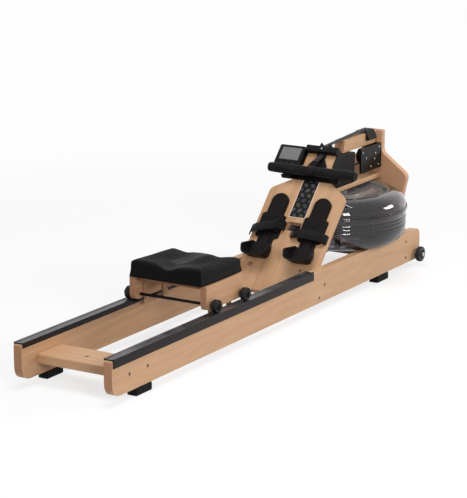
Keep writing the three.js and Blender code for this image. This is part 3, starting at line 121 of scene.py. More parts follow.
lamps = [
    ("near_side_lamp", (3.4, -2.97, 1.9), (1.0, 1.5), 88.0),
    ("far_side_lamp", (3.55, 3.5, 2.0), (1.8, 1.0), 100.0),
    ("top_lamp", (0.3, -0.2, 4.4), (2.2, 2.2), 100.0),
    ("rear_lamp", (-2.5, -8.0, 3.6), (3.6, 3.6), 50.0),
]
surround_light = 0.3


def seen_directly(tree):
    """1 for what the camera sees directly, in a reflection or through clear plastic."""
    path = node(tree, "ShaderNodeLightPath")
    mirror = node(tree, "ShaderNodeMath", {
        0: path.outputs["Is Camera Ray"], 1: path.outputs["Is Glossy Ray"],
    }, operation="MAXIMUM")
    return node(tree, "ShaderNodeMath", {
        0: mirror.outputs[0], 1: path.outputs["Is Transmission Ray"],
    }, operation="MAXIMUM").outputs[0]


world = bpy.data.worlds.new("studio_surround")
world.use_nodes = True
scene.world = world
tree = world.node_tree
tree.nodes.clear()
lit = node(tree, "ShaderNodeBackground", {"Color": (1, 1, 1, 1), "Strength": surround_light})
shown = node(tree, "ShaderNodeBackground", {"Color": (1, 1, 1, 1), "Strength": 1.0})
blend = node(tree, "ShaderNodeMixShader", {
    0: seen_directly(tree), 1: lit.outputs[0], 2: shown.outputs[0],
})
node(tree, "ShaderNodeOutputWorld", {0: blend.outputs[0]})

for name, spot, size, power in lamps:
    lamp = bpy.data.lights.new(name, "AREA")
    lamp.shape = "RECTANGLE"
    lamp.size, lamp.size_y = size
    lamp.energy = power
    stand = place(name, lamp)
    stand.location = spot
    stand.rotation_euler = (camera_aim - stand.location).to_track_quat("-Z", "Y").to_euler()

floor_mesh = bpy.data.meshes.new("studio_floor")
floor_mesh.from_pydata(
    [(x * floor_half, y * floor_half, 0) for x, y in ((-1, -1), (1, -1), (1, 1), (-1, 1))],
    [], [(0, 1, 2, 3)],
)
floor = place("studio_floor", floor_mesh)
floor_finish = bpy.data.materials.new("studio_floor")
floor_finish.use_nodes = True
tree = floor_finish.node_tree
tree.nodes.clear()
plain = node(tree, "ShaderNodeBsdfDiffuse", {"Color": (floor_albedo,) * 3 + (1,)})
soft = node(tree, "ShaderNodeBsdfDiffuse", {"Color": (1, 1, 1, 1)})
glow = node(tree, "ShaderNodeEmission", {"Color": (1, 1, 1, 1), "Strength": floor_white})
away = node(tree, "ShaderNodeVectorMath", {
    0: node(tree, "ShaderNodeTexCoord").outputs["Object"]}, operation="LENGTH").outputs["Value"]
near = node(tree, "ShaderNodeMapRange", {
    "Value": away, "From Min": shadow_reach[1], "From Max": shadow_reach[0],
    "To Min": 0.0, "To Max": floor_shadow,
}).outputs["Result"]
bright = node(tree, "ShaderNodeMixShader", {0: near, 1: glow.outputs[0], 2: soft.outputs[0]})
blend = node(tree, "ShaderNodeMixShader", {
    0: seen_directly(tree), 1: plain.outputs[0], 2: bright.outputs[0],
})
node(tree, "ShaderNodeOutputMaterial", {0: blend.outputs[0]})
floor_mesh.materials.append(floor_finish)


# Rails and boards: planed, oiled beech planks and panels glued up from staves, with
# eased edges. The grain follows each piece's length, and a few small knots show.

stave_width = 0.062
wood_pale = linear(204, 163, 125)
wood_deep = linear(176, 134, 97)
wood_end = linear(160, 112, 84)


class Flow:
    """A number at a shader socket. Each sum with it adds a node to the socket's tree."""

    def __init__(self, socket):
        self.socket = socket

    def then(self, operation, *others):
        return Flow(node(self.socket.id_data, "ShaderNodeMath",
                         dict(enumerate((self, *others))), operation=operation).outputs[0])

    def __add__(self, other):
        return self.then("ADD", other)

    def __sub__(self, other):
        return self.then("SUBTRACT", other)

    def __mul__(self, other):
        return self.then("MULTIPLY", other)

    def __truediv__(self, other):
        return self.then("DIVIDE", other)

    def __abs__(self):
        return self.then("ABSOLUTE")

    def ranged(self, low, high, to_low=0.0, to_high=1.0):
        """Goes from 0 to 1, or between two other values, as this goes from low to high."""
        return Flow(node(self.socket.id_data, "ShaderNodeMapRange", {
            "Value": self, "From Min": low, "From Max": high, "To Min": to_low,
            "To Max": to_high}).outputs["Result"])


def vector_sum(first, operation, second):
    """A vector's socket from two vectors, or the Flow of their product or distance."""
    made = node(first.id_data, "ShaderNodeVectorMath", {0: first, 1: second},
                operation=operation)
    is_number = operation in ("DOT_PRODUCT", "DISTANCE")
    return Flow(made.outputs["Value"]) if is_number else made.outputs[0]


def noise(vector, scale, detail=3.0, distortion=0.0):
    """Noise at one scale, or at one for each axis."""
    if isinstance(scale, tuple):
        vector, scale = vector_sum(vector, "MULTIPLY", scale), 1.0
    return Flow(node(vector.id_data, "ShaderNodeTexNoise", {
        "Vector": vector, "Scale": scale, "Detail": detail, "Distortion": distortion,
    }).outputs["Fac"])


def mixed(factor, first, second):
    return node(factor.socket.id_data, "ShaderNodeMix", {0: factor, 6: first, 7: second},
                data_type="RGBA").outputs[2]


def titled(name):
    """A socket's title, such as Base Color, from a name such as base_color."""
    return name.replace("_", " ").title().replace("Ior", "IOR")


def join(targets, **sources):
    """Links each source to the target that has its name."""
    for name, source in sources.items():
        target = targets[titled(name)]
        target.id_data.links.new(getattr(source, "socket", source), target)


def surface_group(name, **inputs):
    """A shader node group from a vector and these inputs to the looks of a surface."""
    made = bpy.data.node_groups.new(name, "ShaderNodeTree")
    made.interface.new_socket("Vector", in_out="INPUT", socket_type="NodeSocketVector")
    for title, value in inputs.items():
        kind = {3: "Vector", 4: "Color"}[len(value)] if isinstance(value, tuple) else "Float"
        made.interface.new_socket(titled(title), in_out="INPUT",
                                  socket_type=f"NodeSocket{kind}").default_value = value
    for title, kind in (("Color", "Color"), ("Roughness", "Float"), ("Height", "Float")):
        made.interface.new_socket(title, in_out="OUTPUT", socket_type=f"NodeSocket{kind}")
    return (made, made.nodes.new("NodeGroupInput").outputs,
            made.nodes.new("NodeGroupOutput").inputs)


# Grain along the vector's X, staves side by side along its Y
grain, entry, leave = surface_group(
    "beech_grain", pale=wood_pale, deep=wood_deep, stave_width=stave_width, knots=1.0,
    tone_spread=0.5)
parts = node(grain, "ShaderNodeSeparateXYZ", {0: entry["Vector"]}).outputs
staves = Flow(parts["Y"]) / entry["Stave Width"]
chance = node(grain, "ShaderNodeTexWhiteNoise", {"W": staves.then("FLOOR")},
              noise_dimensions="1D").outputs
along = vector_sum(entry["Vector"], "ADD",
                   vector_sum(chance["Color"], "MULTIPLY", (3.0, 0.6, 0.6)))
bands = noise(along, (2.2, 34.0, 34.0), 4.0, 1.4)
fibres = noise(along, (24.0, 900.0, 900.0), 2.0)
flecks = noise(along, (90.0, 620.0, 620.0), 1.0).ranged(0.62, 0.72)
clouds = noise(along, (1.4, 5.0, 5.0), 2.0)
spread = (Flow(chance["Value"]) - 0.5) * entry["Tone Spread"]
tone = (bands * 0.75 + clouds * 0.5 + spread).ranged(0.42, 0.92)
cell = node(grain, "ShaderNodeTexVoronoi", {
    "Vector": vector_sum(along, "MULTIPLY", (0.42, 1.0, 1.0)), "Scale": 5.2,
    "Randomness": 1.0}).outputs
draw = Flow(node(grain, "ShaderNodeSeparateColor", {0: cell["Color"]}).outputs[0])
chosen = draw.then("GREATER_THAN", 0.45) * entry["Knots"]
knot = Flow(cell["Distance"]).ranged(0.05, 0.022) * chosen
halo = Flow(cell["Distance"]).ranged(0.16, 0.03) * chosen
seam = staves.then("PINGPONG", 0.5).ranged(0.012, 0.0)
colour = mixed(tone, entry["Pale"], entry["Deep"])
for amount, shade in (
    (fibres * 0.22, entry["Deep"]), (flecks * 0.28, linear(142, 98, 66)),
    (halo * 0.42, linear(158, 104, 62)), (knot * 0.85, linear(96, 58, 34)),
    (seam * 0.3, linear(150, 106, 74)),
):
    colour = mixed(amount, colour, shade)
join(leave, color=colour, roughness=bands.ranged(0.3, 0.7, 0.4, 0.52),
     height=seam * -0.4 + fibres * 0.5 + knot * -0.3)


def sockets(made):
    """The sockets of a material's shader."""
    return made.node_tree.nodes["Principled BSDF"].inputs


def principled(name, **inputs):
    """A material whose named inputs are set on the shader's own sockets."""
    made = bpy.data.materials.new(name)
    made.use_nodes = True
    for title, value in inputs.items():
        sockets(made)[titled(title)].default_value = value
    return made


def spots(made, kind="Object"):
    return node(made.node_tree, "ShaderNodeTexCoord").outputs[kind]


def bumped(made, height, depth, strength):
    bump = node(made.node_tree, "ShaderNodeBump", {
        "Height": height, "Distance": depth, "Strength": strength})
    join(sockets(made), normal=bump.outputs[0])


def surfaced(made, group, depth, strength, vector=None, **values):
    """Gives a material the colour, roughness and bump of a surface group."""
    look = node(made.node_tree, "ShaderNodeGroup", node_tree=group)
    for title, value in values.items():
        look.inputs[titled(title)].default_value = value
    join(look.inputs, vector=spots(made) if vector is None else vector)
    join(sockets(made), base_color=look.outputs["Color"], roughness=look.outputs["Roughness"])
    bumped(made, look.outputs["Height"], depth, strength)
    return made


def recoloured(made, amount, shade):
    """Mixes a shade into a material's base colour, by an amount."""
    base = sockets(made)["Base Color"].links[0].from_socket
    join(sockets(made), base_color=mixed(amount, base, shade))
    return made


def wood(name, turn, spread=0.5, knots=1.0, width=stave_width, pale=wood_pale, deep=wood_deep):
    """Beech whose grain runs along the local X once Object coordinates are turned."""
    made = principled(name, specular_ior_level=0.3, coat_weight=0.08, coat_roughness=0.3)
    turned_spot = node(made.node_tree, "ShaderNodeMapping", {
        "Vector": spots(made), "Rotation": turn}).outputs[0]
    surfaced(made, grain, 0.0004, 0.5, turned_spot, pale=pale, deep=deep, stave_width=width,
             knots=knots, tone_spread=spread)
    grain_way = Vector((1, 0, 0))
    grain_way.rotate(Euler(turn).to_matrix().inverted())
    normal = node(made.node_tree, "ShaderNodeNewGeometry").outputs["Normal"]
    facing = abs(vector_sum(normal, "DOT_PRODUCT", tuple(grain_way)))
    return recoloured(made, facing.ranged(0.8, 0.95, 0.0, 0.7), wood_end)


def middle_of(source):
    low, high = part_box(source)
    return (low + high) / 2


body_of_node = {
    name: body
    for body, names in frame["record"]["behaviour"]["bodies"].items() for name in names
}


def dress(made, finish, source):
    """Gives a finished piece its material and the body of a CAD node, whose place it takes."""
    made.data.materials.clear()
    made.data.materials.append(finish)
    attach(made, body_of_node[source])
    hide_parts(source)
    return made


def applied(made):
    """Swaps an object's mesh for what its modifiers make of it, and clears them."""
    evaluated = made.evaluated_get(bpy.context.evaluated_depsgraph_get())
    final = bpy.data.meshes.new_from_object(evaluated)
    made.modifiers.clear()
    made.data = final
    return made


def weighted(made, sharp=50.0):
    """Shades a mesh smooth, with normals led by its large faces."""
    made.data.shade_smooth()
    made.data.set_sharp_from_angle(angle=math.radians(sharp))
    made.modifiers.new("weighted", "WEIGHTED_NORMAL").keep_sharp = True
    return applied(made)


weld = 2e-6
flat_angle, edge_angle = math.radians(1), math.radians(38)


def trimmed(name, source, finish, radius, segments=3, move=None):
    """Dresses a copy of a CAD node's shape, its points moved if asked, its edges rounded."""
    mesh = frame["nodes"][source].data.copy()
    if "custom_normal" in mesh.attributes:
        mesh.attributes.remove(mesh.attributes["custom_normal"])
    shape = bmesh.new()
    shape.from_mesh(mesh)
    for vert in shape.verts:
        vert.co = move(vert.co) if move else vert.co
    bmesh.ops.remove_doubles(shape, verts=shape.verts, dist=weld)
    bmesh.ops.dissolve_limit(shape, angle_limit=flat_angle, verts=shape.verts,
                             edges=shape.edges)
    edges = [edge for edge in shape.edges
             if len(edge.link_faces) == 2 and edge.calc_face_angle() > edge_angle]
    bmesh.ops.bevel(shape, geom=edges, offset=radius, offset_type="OFFSET", segments=segments,
                    profile=0.5, affect="EDGES", clamp_overlap=True)
    bmesh.ops.remove_doubles(shape, verts=shape.verts, dist=weld)
    shape.to_mesh(mesh)
    shape.free()
    return dress(weighted(place(name, mesh)), finish, source)


plank_edge = 0.0028
quarter = math.pi / 2
slope_axis = Vector(next(j for j in frame["joints"] if j["name"] == "heel_left_slide")["axis"])
slope_angle = math.atan2(slope_axis.z, slope_axis.y)
slope_origin = Vector((0, 0.263563, 0.133))
slope_up = Vector((0, math.cos(slope_angle), math.sin(slope_angle)))
slope_out = Vector((0, -math.sin(slope_angle), math.cos(slope_angle)))
hand_hole_half = 0.030
hand_hole_middle, hand_hole_top = 0.162, 0.188  # heights up the slope
hand_hole_drop = 0.013  # its upper edge, lowered from the CAD's


def on_slope(across, up, out):
    return slope_origin + Vector((across, 0, 0)) + slope_up * up + slope_out * out


def height_up(spot):
    """How far a place lies up the slope."""
    return (spot - slope_origin).dot(slope_up)


def lower_hole(spot):
    in_hole = (abs(spot.x) < hand_hole_half
               and hand_hole_middle < height_up(spot) < hand_hole_top)
    return spot - slope_up * hand_hole_drop if in_hole else spot


rail_wood = wood("rail_beech", (0, 0, -quarter), spread=0.3, width=0.4)
cross_wood = wood("cross_board_beech", (0, 0, 0), spread=0.3, width=0.3)
slope_wood = wood("footboard_beech", (-slope_angle, 0, -quarter), spread=0.35)
panel_wood = wood("front_panel_beech", (quarter, 0, -quarter), spread=0.5,
                  pale=linear(203, 158, 124), deep=linear(170, 120, 86))
beam_wood = wood("beam_beech", (0, 0, -quarter), spread=0.2, knots=0.4, width=0.3)

for finish, spot, wide, core in (  # knots seen in the photograph, by place and radius
    (cross_wood, (-0.005, -0.872, 0.093), 0.0115, linear(58, 34, 24)),
    (slope_wood, on_slope(-0.107, -0.012, 0), 0.014, linear(136, 88, 54)),
    (slope_wood, on_slope(0.093, -0.011, 0), 0.008, linear(92, 60, 34)),
):
    away = vector_sum(spots(finish), "DISTANCE", tuple(spot))
    recoloured(finish, away.ranged(wide, wide * 0.5, 0.0, 0.6), linear(132, 84, 56))
    recoloured(finish, away.ranged(wide * 0.55, wide * 0.35), core)

for side in ("left", "right"):
    trimmed(f"rail_{side}_plank", f"rail_{side}", rail_wood, plank_edge)
for name, finish in (
    ("rear_cross_board", cross_wood), ("front_cross_board", cross_wood),
    ("footboard_cleat", cross_wood), ("front_panel", panel_wood),
    ("top_beam", beam_wood), ("lower_deck", beam_wood),
):
    trimmed(f"{name}_plank", name, finish, plank_edge)
trimmed("footboard_plank", "footboard", slope_wood, plank_edge, move=lower_hole)


# Tracks: black anodised aluminium caps over the rails' top edges, drawn to one profile
# with a shallow runway, so fine lines run along them. Their sides carry painted shade.

track_edge = 0.0006

metal, entry, leave = surface_group(
    "drawn_metal", dark=linear(44, 38, 40), bright=linear(96, 92, 92),
    lines=(3.0, 900.0, 900.0))
lines = noise(vector_sum(entry["Vector"], "MULTIPLY", entry["Lines"]), 1.0)
smears = noise(entry["Vector"], 14.0)
drawn = mixed((smears * 0.6 + lines * 0.6).ranged(0.45, 0.85), entry["Dark"], entry["Bright"])
join(leave, color=drawn, roughness=(lines + smears).ranged(0.7, 1.3, 0.24, 0.4), height=lines)


def metallic(name, dark, bright, lines, metalness=1.0, specular=0.3):
    made = principled(name, metallic=metalness, specular_ior_level=specular)
    return surfaced(made, metal, 0.00004, 0.4, dark=dark, bright=bright, lines=lines)


track_metal = metallic("anodised_track", linear(30, 26, 27), linear(112, 108, 110),
                       (330.0, 2.0, 330.0), 0.75)
# Painted shade: faces that don't face up are painted darker than the tops.
normal = node(track_metal.node_tree, "ShaderNodeNewGeometry").outputs["Normal"]
upness = Flow(node(track_metal.node_tree, "ShaderNodeSeparateXYZ", {0: normal}).outputs["Z"])
recoloured(track_metal, upness.ranged(0.4, 0.9, 1.0, 0.0), linear(26, 22, 21))
for side in ("left", "right"):
    trimmed(f"track_{side}_cap", f"track_{side}", track_metal, track_edge, 2)


# Rubber feet: four moulded blocks, softly rounded and slightly dusty, screwed on under
# the ends of the rails.

foot_edge = 0.0025

rubbery, entry, leave = surface_group(
    "moulded_surface", base=linear(26, 26, 27), worn=linear(48, 47, 47), grain_scale=1400.0,
    roughness_low=0.5, roughness_high=0.7)
stipple = node(rubbery, "ShaderNodeTexVoronoi", {
    "Vector": entry["Vector"], "Scale": entry["Grain Scale"]})
patches = noise(entry["Vector"], 16.0, 4.0)
speck = noise(entry["Vector"], 420.0, 2.0)
join(leave,
     color=mixed((speck * 0.4 + patches).ranged(0.55, 1.05), entry["Base"], entry["Worn"]),
     roughness=patches.ranged(0.3, 0.7, entry["Roughness Low"], entry["Roughness High"]),
     height=stipple.outputs["Distance"])


def moulded(name, base, worn, grain_scale=1400.0, low=0.45, high=0.6, depth=0.00008,
            specular=0.1):
    """Black plastic, rubber or skin: a fine stipple, and a roughness from low to high."""
    return surfaced(
        principled(name, specular_ior_level=specular), rubbery, depth, 0.5, base=base,
        worn=worn, grain_scale=grain_scale, roughness_low=low, roughness_high=high)


rubber = moulded("foot_rubber", linear(18, 18, 18), linear(34, 33, 32), 900.0, 0.7, 0.88)
for end in ("rear", "front"):
    for side in ("left", "right"):
        trimmed(f"foot_{end}_{side}_block", f"foot_{end}_{side}", rubber, foot_edge)


# Water tank: two thick, smoky clear bowls clamped at a flange. Light moulded bands run
# round them, the lid is sunken and ringed, and ribs inside brake the turning water.

tank_middle = Vector((0, 0.695, 0))
tank_low = 0.1393
tank_wall = 0.004
tank_radius = 0.247
tank_floor_radius = 0.196
tank_bowl_top = 0.2053
tank_flange_z = 0.2623
tank_flange_radius = 0.251
tank_upper_z = 0.2645
tank_shoulder_z = 0.2682
tank_rim_radius = 0.186
tank_top = 0.3243
tank_lid_z = 0.3103
tank_ring_radii = (0.154, 0.0846)
tank_boss_radius = 0.034
tank_boss_top = 0.3193
tank_shaft_hole = 0.0084
tank_water_level = 0.2383
tank_bands = (0.2135, 0.2265, 0.2395)
tank_sides = 144
tank_smoke = (0.45, 0.435, 0.47, 1)
tank_ribs = 6
tank_rib_depth = 0.014
tank_rib_half = 0.002
tank_rib_sunk = 0.0004  # into the bowl's wall
tank_lid_edge = 0.008  # width of its rim
tank_lid_slope = 0.007
tank_ring_half = 0.0045
tank_ring_high = 0.004
lid_below, lid_beyond = 0.005, 0.002  # how far its look reaches past its own sizes
plug_edge = 0.001
paddle_edge = 0.0006
seal_inset = 0.0006


def from_shape(name, shape, sharp=None):
    """An object of a shape, shaded smooth up to an angle in degrees if it is given."""
    mesh = bpy.data.meshes.new(name)
    shape.to_mesh(mesh)
    shape.free()
    if sharp is not None:
        mesh.shade_smooth()
        mesh.set_sharp_from_angle(angle=math.radians(sharp))
    return place(name, mesh)


def lathe(name, profile, sides, middle, way="Z"):
    """A body turned from (radius, height) points round an axis through its middle."""
    shape = bmesh.new()
    angles = [2 * math.pi * k / sides for k in range(sides)]
    rings = [
        [shape.verts.new((0, 0, height))] if radius == 0 else
        [shape.verts.new((radius * math.cos(a), radius * math.sin(a), height)) for a in angles]
        for radius, height in profile
    ]
    for low, high in zip(rings, rings[1:] + rings[:1]):
        for k in range(sides):
            corners = dict.fromkeys((
                low[k % len(low)], low[(k + 1) % sides % len(low)],
                high[(k + 1) % sides % len(high)], high[k % len(high)],
            ))
            if len(corners) > 2:
                shape.faces.new(corners)
    bmesh.ops.remove_doubles(shape, verts=shape.verts, dist=weld / 20)
    bmesh.ops.recalc_face_normals(shape, faces=shape.faces)
    if way == "X":
        shape.transform(Matrix.Rotation(quarter, 4, "Y"))
    shape.transform(Matrix.Translation(middle))
    return from_shape(name, shape, 38)


def bend(start, end, rising, steps=14):
    """Quarter ellipse from start to end: level first if rising, else upright first."""
    (r0, z0), (r1, z1) = start, end
    return [
        (r0 + (r1 - r0) * math.sin(a), z1 + (z0 - z1) * math.cos(a)) if rising else
        (r1 + (r0 - r1) * math.cos(a), z0 + (z1 - z0) * math.sin(a))
        for a in (quarter * k / steps for k in range(steps + 1))
    ]


def banded(radius, low, high, depth=0.0011, spread=0.0022):
    """A plain wall from low to high, with shallow moulded bands."""
    points = []
    for middle in tank_bands:
        if low < middle - spread and middle + spread < high:
            points += [(radius, middle - spread), (radius - depth, middle - spread / 3),
                       (radius - depth, middle + spread / 3), (radius, middle + spread)]
    return points


def clear(name, tint, ior, through=1.0, **inputs):
    return principled(name, base_color=tint, ior=ior, transmission_weight=through, **inputs)


def hazy(made, scale, detail, low, high, to_low, to_high):
    """Lets a clear material's roughness vary softly from place to place."""
    haze = noise(spots(made), scale, detail)
    join(sockets(made), roughness=haze.ranged(low, high, to_low, to_high))
    return made


flange_low = tank_flange_z - tank_wall
lower_bowl = lathe("tank_lower_bowl", [
    (0, tank_low),
    *bend((tank_floor_radius, tank_low), (tank_radius, tank_bowl_top), True),
    *banded(tank_radius, tank_bowl_top, flange_low),
    (tank_radius, flange_low),
    (tank_flange_radius, flange_low), (tank_flange_radius, tank_flange_z),
    (tank_radius - tank_wall, tank_flange_z),
    *reversed(bend((tank_floor_radius, tank_low + tank_wall),
                   (tank_radius - tank_wall, tank_bowl_top), True)),
    (0, tank_low + tank_wall),
], tank_sides, tank_middle)

rib_shape = bmesh.new()
rib_shape.from_mesh(lower_bowl.data)
rib_outer = tank_radius - tank_wall + tank_rib_sunk
for k in range(tank_ribs):
    rib = bmesh.ops.create_cube(rib_shape, size=1)["verts"]
    bmesh.ops.scale(rib_shape, verts=rib, vec=(
        tank_rib_depth, 2 * tank_rib_half, flange_low - tank_bowl_top))
    bmesh.ops.translate(rib_shape, verts=rib, vec=(
        rib_outer - tank_rib_depth / 2, 0, (flange_low + tank_bowl_top) / 2))
    bmesh.ops.rotate(rib_shape, verts=rib, matrix=Matrix.Rotation(
        2 * math.pi * (k + 0.5) / tank_ribs, 3, "Z"))
    bmesh.ops.translate(rib_shape, verts=rib, vec=tank_middle)
    for face in {face for corner in rib for face in corner.link_faces}:
        face.material_index = 1
rib_shape.to_mesh(lower_bowl.data)
rib_shape.free()

lid_foot = tank_rim_radius - tank_lid_edge - tank_lid_slope
lid = [(tank_rim_radius - tank_lid_edge, tank_top), (lid_foot, tank_lid_z)]
for ring_radius in tank_ring_radii:
    lid += [
        (ring_radius + tank_ring_half * math.cos(a), tank_lid_z + tank_ring_high * math.sin(a))
        for a in (math.pi * k / 8 for k in range(9))
    ]
upper_bowl = lathe("tank_upper_bowl", [
    (tank_radius - tank_wall, tank_upper_z), (tank_flange_radius, tank_upper_z),
    (tank_flange_radius, tank_shoulder_z), (tank_radius, tank_shoulder_z),
    *bend((tank_radius, tank_shoulder_z), (tank_rim_radius, tank_top), False),
    *lid,
    (tank_boss_radius, tank_lid_z), (tank_boss_radius, tank_boss_top),
    (tank_shaft_hole, tank_boss_top), (tank_shaft_hole, tank_lid_z - tank_wall),
    (lid_foot, tank_lid_z - tank_wall),
    *bend((tank_radius - tank_wall, tank_shoulder_z),
          (tank_rim_radius, tank_top - tank_wall), False)[::-1],
], tank_sides, tank_middle)

acrylic_ior, water_ior = 1.49, 1.33
shell = hazy(clear("smoky_shell", tank_smoke, acrylic_ior), 22.0, 3.0, 0.35, 0.7, 0.01, 0.05)
dress(lower_bowl, shell, "tank_lower_shell")
lower_bowl.data.materials.append(moulded(
    "smoky_rib", linear(120, 116, 122), linear(150, 146, 152), 500.0, 0.3, 0.45))
dress(upper_bowl, shell, "tank_upper_shell")
upper_bowl.data.materials.append(hazy(
    clear("smoky_lid", linear(150, 148, 147), acrylic_ior, 0.5), 60.0, 2.0, 0.3, 0.7, 0.08,
    0.2))
for face in upper_bowl.data.polygons:
    reach = (face.center - tank_middle).xy.length
    if face.center.z > tank_lid_z - lid_below and reach < tank_rim_radius + lid_beyond:
        face.material_index = 1

water_overlap = 0.0004  # into the bowl's wall
water_radius = tank_radius - tank_wall + water_overlap
water_low = tank_low + tank_wall - water_overlap
water = lathe("tank_water_body", [
    (0, water_low),
    *bend((tank_floor_radius, water_low), (water_radius, tank_bowl_top), True),
    (water_radius, tank_water_level), (0, tank_water_level),
], tank_sides, tank_middle)
tinted = clear("tank_water", (0.6, 0.59, 0.62, 1), water_ior, roughness=0.0)
bumped(tinted, noise(spots(tinted), 9.0, 2.0), 0.002, 0.3)
dress(water, tinted, "tank_water")

seal_rubber = moulded("seal_rubber", linear(24, 24, 26), linear(46, 45, 46))
seal_low, seal_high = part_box("tank_seal")
seal_radius = tank_flange_radius - seal_inset
dress(lathe("tank_seal_ring", [
    (tank_radius - tank_wall, seal_low.z), (seal_radius, seal_low.z),
    (seal_radius, seal_high.z), (tank_radius - tank_wall, seal_high.z),
], tank_sides, tank_middle), seal_rubber, "tank_seal")
trimmed("tank_fill_plug", "fill_plug", seal_rubber, plug_edge)

paddle_dark = moulded("paddle_moulding", linear(34, 33, 36), linear(62, 60, 64), 600.0,
                      0.35, 0.5)
trimmed("tank_paddle", "paddle", paddle_dark, paddle_edge, 2)


# Strap drive: a drum under a black clamp housing, pulleys and rollers in black cheeks,
# and a saddle block over the beam. The cheeks are folded steel, the rest is moulded.

black_moulding = moulded("black_moulding", linear(13, 11, 11), linear(25, 22, 22), 1600.0,
                         0.4, 0.56)
black_metal = metallic("black_steel", linear(13, 11, 11), linear(28, 24, 24),
                       (260.0, 260.0, 260.0), 0.2, 0.12)
zinc = metallic("bright_steel", linear(150, 150, 150), linear(214, 212, 206),
                (420.0, 420.0, 420.0))

housing_edge, saddle_edge, sheet_edge = 0.0018, 0.0022, 0.0009
for name, edge in (("drum_housing", housing_edge), ("roller_saddle", saddle_edge)):
    trimmed(f"{name}_cover", name, black_moulding, edge)
trimmed("pulley_bracket_cheeks", "pulley_bracket", black_metal, sheet_edge, 2)

drum_low, drum_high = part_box("drum")
drum_core, drum_flange, drum_bore = 0.024, 0.034, 0.0084
drum_edge = 0.0012
drum_sides, roller_sides = 64, 48
flange_thickness = 0.004
roller_bore = 0.0037
roller_edge = 0.0006


def rounded_flange(radius, low, high, edge):
    return [(radius - edge, low), (radius, low + edge), (radius, high - edge),
            (radius - edge, high)]


dress(lathe("strap_drum", [
    (drum_bore, drum_low.z),
    *rounded_flange(drum_flange, drum_low.z, drum_low.z + flange_thickness, drum_edge),
    (drum_core, drum_low.z + flange_thickness),
    (drum_core, drum_high.z - flange_thickness),
    *rounded_flange(drum_flange, drum_high.z - flange_thickness, drum_high.z, drum_edge),
    (drum_bore, drum_high.z),
], drum_sides, tank_middle), black_moulding, "drum")

roller_steel = metallic("roller_steel", linear(70, 68, 68), linear(150, 147, 145),
                        (600.0, 8.0, 8.0))


def roller(name, source, lip, lip_width, finish):
    """A roller turned to the box of its CAD node, with lips if lip isn't 0."""
    low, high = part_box(source)
    half = (high.x - low.x) / 2
    radius = (high.z - low.z) / 2
    if lip:
        rims = [*rounded_flange(radius, -half, lip_width - half, roller_edge),
                (radius - lip, lip_width - half), (radius - lip, half - lip_width),
                *rounded_flange(radius, half - lip_width, half, roller_edge)]
    else:
        rims = rounded_flange(radius, -half, half, roller_edge)
    profile = [(roller_bore, -half), *rims, (roller_bore, half)]
    return dress(lathe(name, profile, roller_sides, middle_of(source), "X"), finish, source)


pulley_lip, pulley_lip_width = 0.004, 0.002
roller("strap_top_roller", "top_roller", 0, 0, roller_steel)
roller("strap_neck_roller", "neck_roller", 0, 0, roller_steel)
roller("strap_lower_pulley", "lower_pulley", pulley_lip, pulley_lip_width,
       black_moulding)


# Pull strap: black polyester webbing from the handle up under the rest, over two rollers
# and under the pulley, where it turns on edge to reach the drum.

strap_width = 0.022
strap_thickness = 0.0018
strap_lift = 0.0004  # off a roller
strap_gap = 0.0003  # between what moves and what doesn't
lead_start = 0.4124 + strap_gap
lead_end = 0.453
strap_depth = 0.004
handle_out = 0.0273
neck_foot, neck_top = 0.468, 0.483
twist_run = 0.031  # level, before the strap starts to turn
twist_side = 0.0257  # where it reaches the drum
twist_share = 0.8  # of its way, in which it turns on edge
twist_steps = 24
lead_steps = 48


def skin(shape, rings, looped=False):
    """Lays faces from each ring of points to the next."""
    for first, second in zip(rings, rings[1:] + rings[:1] if looped else rings[1:]):
        for i in range(len(first)):
            shape.faces.new((first[i - 1], first[i], second[i], second[i - 1]))


def ribbon(name, stations, width, thickness):
    """A flat strap through stations of (middle, across, face); its UV is in metres."""
    shape = bmesh.new()
    layer = shape.loops.layers.uv.new("length_and_width")
    half, thin = width / 2, thickness / 2
    edge = thickness * 0.6
    section = [(-half, 0), (-half + edge, -thin), (half - edge, -thin), (half, 0),
               (half - edge, thin), (-half + edge, thin)]
    rows, lays, length = [], {}, 0.0
    last = stations[0][0]
    for middle, across, face in stations:
        length += (middle - last).length
        last = middle
        rows.append([shape.verts.new(middle + across * x + face * y) for x, y in section])
        lays.update({corner: (length, x) for corner, (x, y) in zip(rows[-1], section)})
    skin(shape, rows)
    for side in shape.faces:
        for loop in side.loops:
            loop[layer].uv = lays[loop.vert]
    shape.faces.new(rows[0])
    shape.faces.new(rows[-1])
    bmesh.ops.recalc_face_normals(shape, faces=shape.faces)
    return from_shape(name, shape, 60)


weave, entry, leave = surface_group(
    "woven_tape", yarn=linear(34, 33, 35), worn=linear(66, 64, 66), pitch=0.0016)
lay = node(weave, "ShaderNodeSeparateXYZ", {0: entry["Vector"]}).outputs
warp, weft = ((Flow(lay[axis]) * math.pi / entry["Pitch"]).then("SINE") for axis in "YX")
twill = abs(warp * weft)
wear = noise(entry["Vector"], 30.0)
join(leave,
     color=mixed((twill * 0.35 + wear).ranged(0.45, 1.05), entry["Yarn"], entry["Worn"]),
     roughness=wear.ranged(0.3, 0.7, 0.72, 0.86), height=twill)


def woven(name, yarn, worn, pitch=0.0016):
    made = principled(name, specular_ior_level=0.1, sheen_weight=0.1, sheen_roughness=0.5)
    return surfaced(made, weave, 0.0003, 0.7, spots(made, "UV"), yarn=yarn, worn=worn,
                    pitch=pitch)


sideways = Vector((1, 0, 0))


